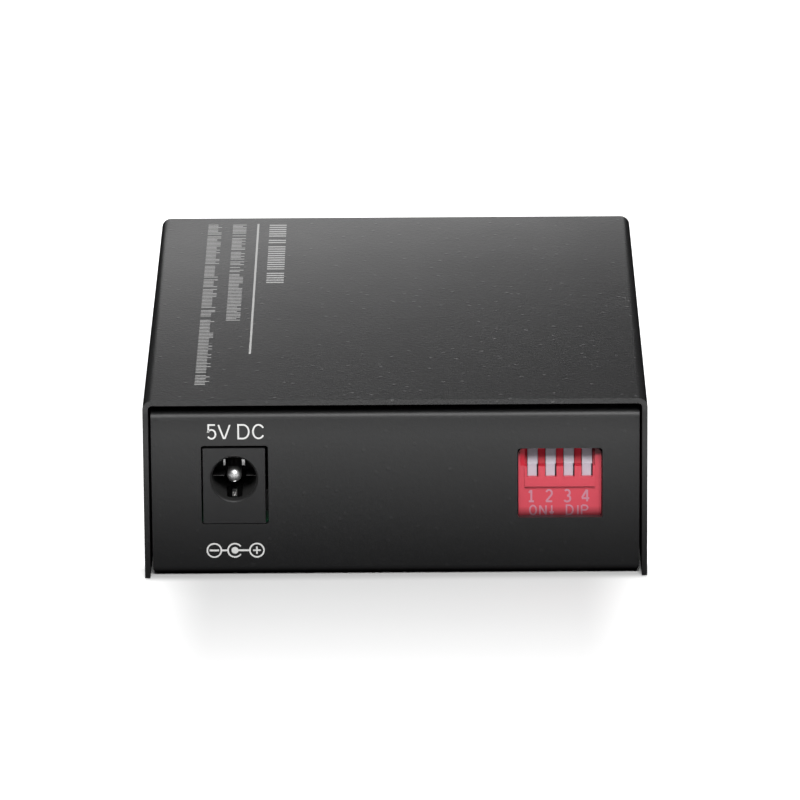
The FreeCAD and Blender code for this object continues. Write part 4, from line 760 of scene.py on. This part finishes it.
def centre_pin():
    """A rounded pin with a slight neck behind its head, riveted to a tail that is soldered."""
    radius, neck, dome = 1.0 * MM, 0.9 * MM, 0.75 * MM
    tip, root, tail = pin_low.y, pin_high.y - 0.3 * MM, 0.7 * MM
    profile = [(tip + dome * (1 - math.cos(math.radians(angle))),
                radius * math.sin(math.radians(angle)))
               for angle in (8, 20, 32, 44, 56, 68, 80, 90)]
    profile += [(tip + 1.3 * MM, radius), (tip + 1.45 * MM, neck), (tip + 2.2 * MM, neck),
                (tip + 2.35 * MM, radius), (root, radius)]
    vertices, faces = turned(profile, JACK_AXIS_X, JACK_AXIS_Z)
    more = box_faces((pin_low.x, pin_high.y - tail, pin_low.z),
                     (pin_high.x, pin_high.y, pin_high.z), len(vertices))
    return vertices + more[0], faces + more[1]


SHARP_FROM = 35
bright_tin = plated("polished pin", (0.66, 0.66, 0.66), roughness=0.42)
pin = solid_piece("inlet_pin", *centre_pin(), bright_tin, "contact_metal", smooth=True)
pin.data.polygons[-1].use_smooth = False
pin.data.set_sharp_from_angle(angle=math.radians(SHARP_FROM))
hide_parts("dc_jack_pin")


def strip(path, thickness, low_x, high_x):
    """A bent strip: a path of (y, z) points given a thickness, from low_x to high_x."""
    edges = stroke(path, thickness)
    vertices, faces = [], []
    for left, right in edges:
        for side, across in ((left, low_x), (left, high_x), (right, high_x), (right, low_x)):
            vertices.append((across, side.x, side.y))
    for n in range(len(edges) - 1):
        a, b = 4 * n, 4 * n + 4
        for k in range(4):
            faces.append((a + k, b + k, b + (k + 1) % 4, a + (k + 1) % 4))
    faces.append((0, 1, 2, 3))
    last = 4 * (len(edges) - 1)
    faces.append((last + 3, last + 2, last + 1, last))
    return vertices, faces


def sleeve_leaf():
    """The leaf under the plug: up through the floor, then forwards with a raised crest."""
    wide, sheet = 0.34 * MM, 0.3 * MM
    front, back = leaf_low.y, leaf_high.y
    low, floor_up = leaf_low.z, leaf_high.z - 0.45 * MM
    path = [(back - 0.15 * MM, low), (back - 0.15 * MM, floor_up - 0.5 * MM),
            (back - 0.4 * MM, floor_up - 0.15 * MM), (back - 1.0 * MM, floor_up),
            (front + 2.2 * MM, floor_up + 0.1 * MM), (front + 1.4 * MM, floor_up + 0.3 * MM),
            (front + 0.8 * MM, floor_up + 0.1 * MM), (front + 0.15 * MM, floor_up - 0.35 * MM)]
    return strip(path, sheet, JACK_AXIS_X - wide, JACK_AXIS_X + wide)


leaf = solid_piece("inlet_sleeve_leaf", *sleeve_leaf(), tin, "contact_metal")
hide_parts("dc_jack_sleeve_contact")


def roof_springs():
    """Two short springs either side of the roof channel, bowed towards the plug."""
    vertices, faces = [], []
    front, rise, sheet = jack_low.y + 0.3 * MM, JACK_AXIS_Z, 0.18 * MM
    for across, wide in ((JACK_AXIS_X - 1.33 * MM, 0.13 * MM),
                         (JACK_AXIS_X + 1.33 * MM, 0.2 * MM)):
        path = [(front, rise + 2.85 * MM), (front + 0.04 * MM, rise + 2.4 * MM),
                (front + 0.12 * MM, rise + 2.0 * MM), (front + 0.6 * MM, rise + 1.85 * MM),
                (front + 2.2 * MM, rise + 2.2 * MM), (front + 3.2 * MM, rise + 2.75 * MM)]
        more = strip(path, sheet, across - wide, across + wide)
        faces += [tuple(len(vertices) + n for n in face) for face in more[1]]
        vertices += more[0]
    return vertices, faces


solid_piece("inlet_roof_springs", *roof_springs(), bright_tin, "contact_metal")


def side_blades():
    """The edges of two flat blades that lie across the bore at either side of the pin."""
    vertices, faces = [], []
    level, half_sheet = JACK_AXIS_Z - 0.28 * MM, 0.035 * MM
    front, back = jack_low.y + 2.6 * MM, jack_low.y + 5.5 * MM
    for start, end in ((-2.95 * MM, -1.4 * MM), (1.65 * MM, 2.95 * MM)):
        more = box_faces((JACK_AXIS_X + start, front, level - half_sheet),
                         (JACK_AXIS_X + end, back, level + half_sheet), len(vertices))
        vertices += more[0]
        faces += more[1]
    return vertices, faces


solid_piece("inlet_side_blades", *side_blades(), dark_tin, "contact_metal")

# ---------------------------------------------------------------------------------------------
# DIP switch
# A red housing with four off-white rocker levers, and pale print on its face: the digits
# under the levers, ON with an arrow, and the switch's kind below.
# ---------------------------------------------------------------------------------------------


# The shade that the panel's window throws on the switch is painted into its colours: darker at the
# sill and the lintel, and a deeper red inside the comb between the levers.
WINDOW_MIDDLE = 22.5 * MM
SILL_SHADE, LINTEL_SHADE = (7.8 * MM, 9.3 * MM), (16.6 * MM, 17.2 * MM)
DARK_SILL, DARK_LINTEL = 0.1, 0.2
COMB_FROM, COMB_SIDES = (15.2 * MM, 15.4 * MM), (4.95 * MM, 5.1 * MM)


def window_shade_group():
    """Masks of what the window shades: the sill over the foot, the lintel over the comb."""
    group, _, result = new_group("window shade", [], [("Edges", "Float"), ("Comb", "Float")])
    place = add(group, "ShaderNodeSeparateXYZ",
                Vector=add(group, "ShaderNodeTexCoord").outputs["Object"])
    foot = add(group, "ShaderNodeMapRange", Value=place.outputs["Z"], From_Min=SILL_SHADE[0],
               From_Max=SILL_SHADE[1], To_Min=DARK_SILL, To_Max=1.0)
    across = reckon(group, "ABSOLUTE",
                    reckon(group, "SUBTRACT", place.outputs["X"], WINDOW_MIDDLE))
    high = ramp(group, place.outputs["Z"], *COMB_FROM, 0.0, 1.0)
    comb = reckon(group, "MULTIPLY", high, ramp(group, across, *COMB_SIDES, 1.0, 0.0))
    lintel = reckon(group, "MAXIMUM", comb,
                    ramp(group, place.outputs["Z"], *LINTEL_SHADE, 1.0, DARK_LINTEL))
    shaded = reckon(group, "MINIMUM", foot.outputs["Result"], lintel)
    group.links.new(shaded, result.inputs["Edges"])
    group.links.new(comb, result.inputs["Comb"])
    return group


window_shade = window_shade_group()


def in_window(material, lit, shaded):
    """Paint the window's shade into a material's colour, with a shaded colour inside the comb."""
    tree = material.node_tree
    shade = add(tree, "ShaderNodeGroup", {"node_tree": window_shade})
    plain = mix_colours(tree, shade.outputs["Comb"], lit, shaded)
    darker = add(tree, "ShaderNodeMix", {"data_type": "RGBA", "blend_type": "MULTIPLY"})
    darker.inputs["Factor"].default_value = 1.0
    tree.links.new(plain, darker.inputs["A"])
    tree.links.new(shade.outputs["Edges"], darker.inputs["B"])
    feed_instead(tree, darker.outputs["Result"],
                 tree.nodes["Principled BSDF"].inputs["Base Color"])


# RED is the lit red; COMB_SHADE_RED is the red in painted shade inside the comb.
RED, COMB_SHADE_RED, PALE_PINK = (0.53, 0.058, 0.083), (0.5, 0.012, 0.03), (0.45, 0.19, 0.25)
red_plastic = moulding("red switch moulding", RED, roughness=0.42, depth=0.1, gloss=0.3)
in_window(red_plastic, RED, COMB_SHADE_RED)
dress(red_plastic, "dip_switch_body")
lever_plastic = moulding("lever moulding", (0.48, 0.43, 0.49), roughness=0.5, depth=0.08,
                         gloss=0.25)
dress(lever_plastic, *["dip_lever_%d" % number for number in range(1, 5)])
dress(tin, "dip_switch_pins")

pale_ink = ink("pale print", PALE_PINK)
in_window(pale_ink, PALE_PINK, PALE_PINK)
COMB_PROUD = 0.35 * MM
switch_face = (Matrix.Translation((0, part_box("dip_switch_body")[0].y + COMB_PROUD, 0))
               @ Matrix.Rotation(math.radians(90), 4, "X") @ Matrix.Diagonal((MM, MM, 1, 1)))


def digits():
    """1 to 4 in plain strokes, each with its left edge and width."""
    line, foot, tall = 0.27, 10.0, 1.72
    one = [[(0.10, 0.76), (0.46, 0.98)], [(0.5, 1), (0.5, 0)], [(0.06, 0.03), (0.94, 0.03)]]
    two = [arc((0.5, 0.72), (0.42, 0.28), 160, -30, 10) + [(0.08, 0.04)],
           [(0.02, 0.02), (0.98, 0.02)]]
    three = [arc((0.45, 0.75), (0.4, 0.25), 140, -90, 10),
             arc((0.45, 0.25), (0.48, 0.26), 90, -150, 10)]
    four = [[(0.72, 0), (0.72, 1)], [(0.66, 1), (0.04, 0.32)], [(0.0, 0.27), (1.0, 0.27)]]
    lines = []
    for glyph, left, wide in ((one, 18.63, 0.82), (two, 21.05, 0.95), (three, 23.63, 0.95),
                              (four, 26.12, 1.05)):
        lines += [(moved(path, left, foot, wide, tall), line, False) for path in glyph]
    return lines


def switch_words():
    """ON with an arrow, and DIP: each stroke with its left edge, width and whether it closes."""
    line, foot, tall = 0.22, 8.08, 1.36
    paths = [(arc((0.5, 0.5), (0.5, 0.5), 0, 342, 19), 18.83, 0.9, True),
             ([(0, 0), (0, 1)], 20.25, 1.0, False),
             ([(0, 1), (0.85, 0)], 20.25, 1.0, False),
             ([(0.85, 0), (0.85, 1)], 20.25, 1.0, False),
             ([(0.5, 1), (0.5, 0.05)], 21.65, 0.5, False),
             ([(0, 0.35), (0.46, 0.05)], 21.65, 0.5, False),
             ([(1, 0.35), (0.54, 0.05)], 21.65, 0.5, False),
             ([(0, 0), (0, 1)] + arc((0.42, 0.5), (0.58, 0.5), 90, -90, 12), 23.98, 0.9, True),
             ([(0.5, 0), (0.5, 1)], 25.42, 0.3, False),
             ([(0, 0), (0, 1)], 26.10, 0.85, False),
             ([(0.1, 1)] + arc((0.5, 0.74), (0.5, 0.26), 90, -90, 10) + [(0.1, 0.48)],
              26.10, 0.85, False)]
    return [(moved(path, left, foot, wide, tall), line, closed)
            for path, left, wide, closed in paths]


printed("switch_digits", digits(), switch_face, pale_ink)
printed("switch_words", switch_words(), switch_face, pale_ink)

# ---------------------------------------------------------------------------------------------
# Circuit board and its parts
# Glass-epoxy board with green solder mask over copper tracks, on brass standoffs, with
# moulded chips and coils, sleeved capacitors and a drawn crystal can.
# ---------------------------------------------------------------------------------------------


MASK_GREEN, TRACK_GREEN = (0.005, 0.04, 0.018), (0.015, 0.1, 0.045)
SLEEVE_BLACK, ALUMINIUM = (0.012, 0.014, 0.02), (0.78, 0.78, 0.79)
BARE_DEPTH = 0.05 * MM


def solder_mask():
    """Glossy green lacquer, paler over the tracks."""
    material, tree, shader = new_material("solder mask", MASK_GREEN, roughness=0.3)
    place = add(tree, "ShaderNodeTexCoord").outputs["Object"]
    tracks = add(tree, "ShaderNodeTexBrick", Vector=place, Scale=320.0, Mortar_Size=0.012,
                 Mortar=(1, 1, 1, 1))
    tree.links.new(mix_colours(tree, tracks.outputs["Fac"], MASK_GREEN, TRACK_GREEN),
                   shader.inputs["Base Color"])
    return material


def sleeved_can(top):
    """A capacitor: dark plastic sleeve below, bare aluminium on its top."""
    material, tree, shader = new_material("sleeved can", SLEEVE_BLACK, roughness=0.35)
    place = add(tree, "ShaderNodeTexCoord").outputs["Object"]
    height = add(tree, "ShaderNodeSeparateXYZ", Vector=place).outputs["Z"]
    bare = reckon(tree, "GREATER_THAN", height, top - BARE_DEPTH)
    tree.links.new(mix_colours(tree, bare, SLEEVE_BLACK, ALUMINIUM),
                   shader.inputs["Base Color"])
    tree.links.new(bare, shader.inputs["Metallic"])
    return material


dress(solder_mask(), "circuit_board")
dress(moulding("chip moulding", (0.025, 0.025, 0.027), roughness=0.6), "converter_chip",
      "line_transformer", "voltage_regulator", "power_inductor")
dress(sleeved_can(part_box("input_capacitor")[1].z), "input_capacitor", "output_capacitor")
dress(plated("zinc plate", (0.62, 0.63, 0.66), roughness=0.35), "board_screws")
dress(plated("turned brass", (0.72, 0.55, 0.27), roughness=0.3), "board_standoffs")
nickel = plated("nickel plate", (0.66, 0.65, 0.62), roughness=0.3)
dress(nickel, "crystal_can")

# ---------------------------------------------------------------------------------------------
# Network socket
# A black insert in a folded, nickel-plated shell, with eight gilt contacts.
# ---------------------------------------------------------------------------------------------

socket_plastic = moulding("socket moulding", (0.016, 0.016, 0.017), roughness=0.4)
dress(socket_plastic, "network_socket_insert")
dress(nickel, "network_socket_shell")
dress(plated("gilt contacts", (0.85, 0.62, 0.26), roughness=0.22), "network_socket_contacts")

# ---------------------------------------------------------------------------------------------
# Fibre ports
# Two plated bayonet barrels with ceramic sleeves on a black transceiver.
# ---------------------------------------------------------------------------------------------

dress(socket_plastic, "fibre_transceiver_housing")
dress(nickel, "fibre_barrel_tx", "fibre_barrel_rx")
dress(moulding("ferrule ceramic", (0.86, 0.84, 0.78), roughness=0.15, depth=0.02),
      "fibre_sleeve_tx", "fibre_sleeve_rx")
dress(tin, "fibre_transceiver_pins")

# ---------------------------------------------------------------------------------------------
# Status lamps
# Oblong lamps of tinted clear resin in a black holder.
# ---------------------------------------------------------------------------------------------


DEEP_GREEN, PALE_GREEN = (0.24, 0.52, 0.17), (0.34, 0.66, 0.25)


def lamp_resin():
    """Clear green resin with a faint cloudiness, behind a gloss."""
    material, tree, shader = new_material("lamp resin", DEEP_GREEN, roughness=0.12)
    place = add(tree, "ShaderNodeTexCoord").outputs["Object"]
    cloud = add(tree, "ShaderNodeTexNoise", Vector=place, Scale=500.0, Detail=2.0)
    tree.links.new(mix_colours(tree, cloud.outputs["Fac"], DEEP_GREEN, PALE_GREEN),
                   shader.inputs["Base Color"])
    shader.inputs["Transmission Weight"].default_value = 0.35
    shader.inputs["Coat Weight"].default_value = 0.4
    return material


dress(socket_plastic, "status_lamp_holder")
dress(lamp_resin(), *["status_lamp_%d" % number for number in range(1, 7)])
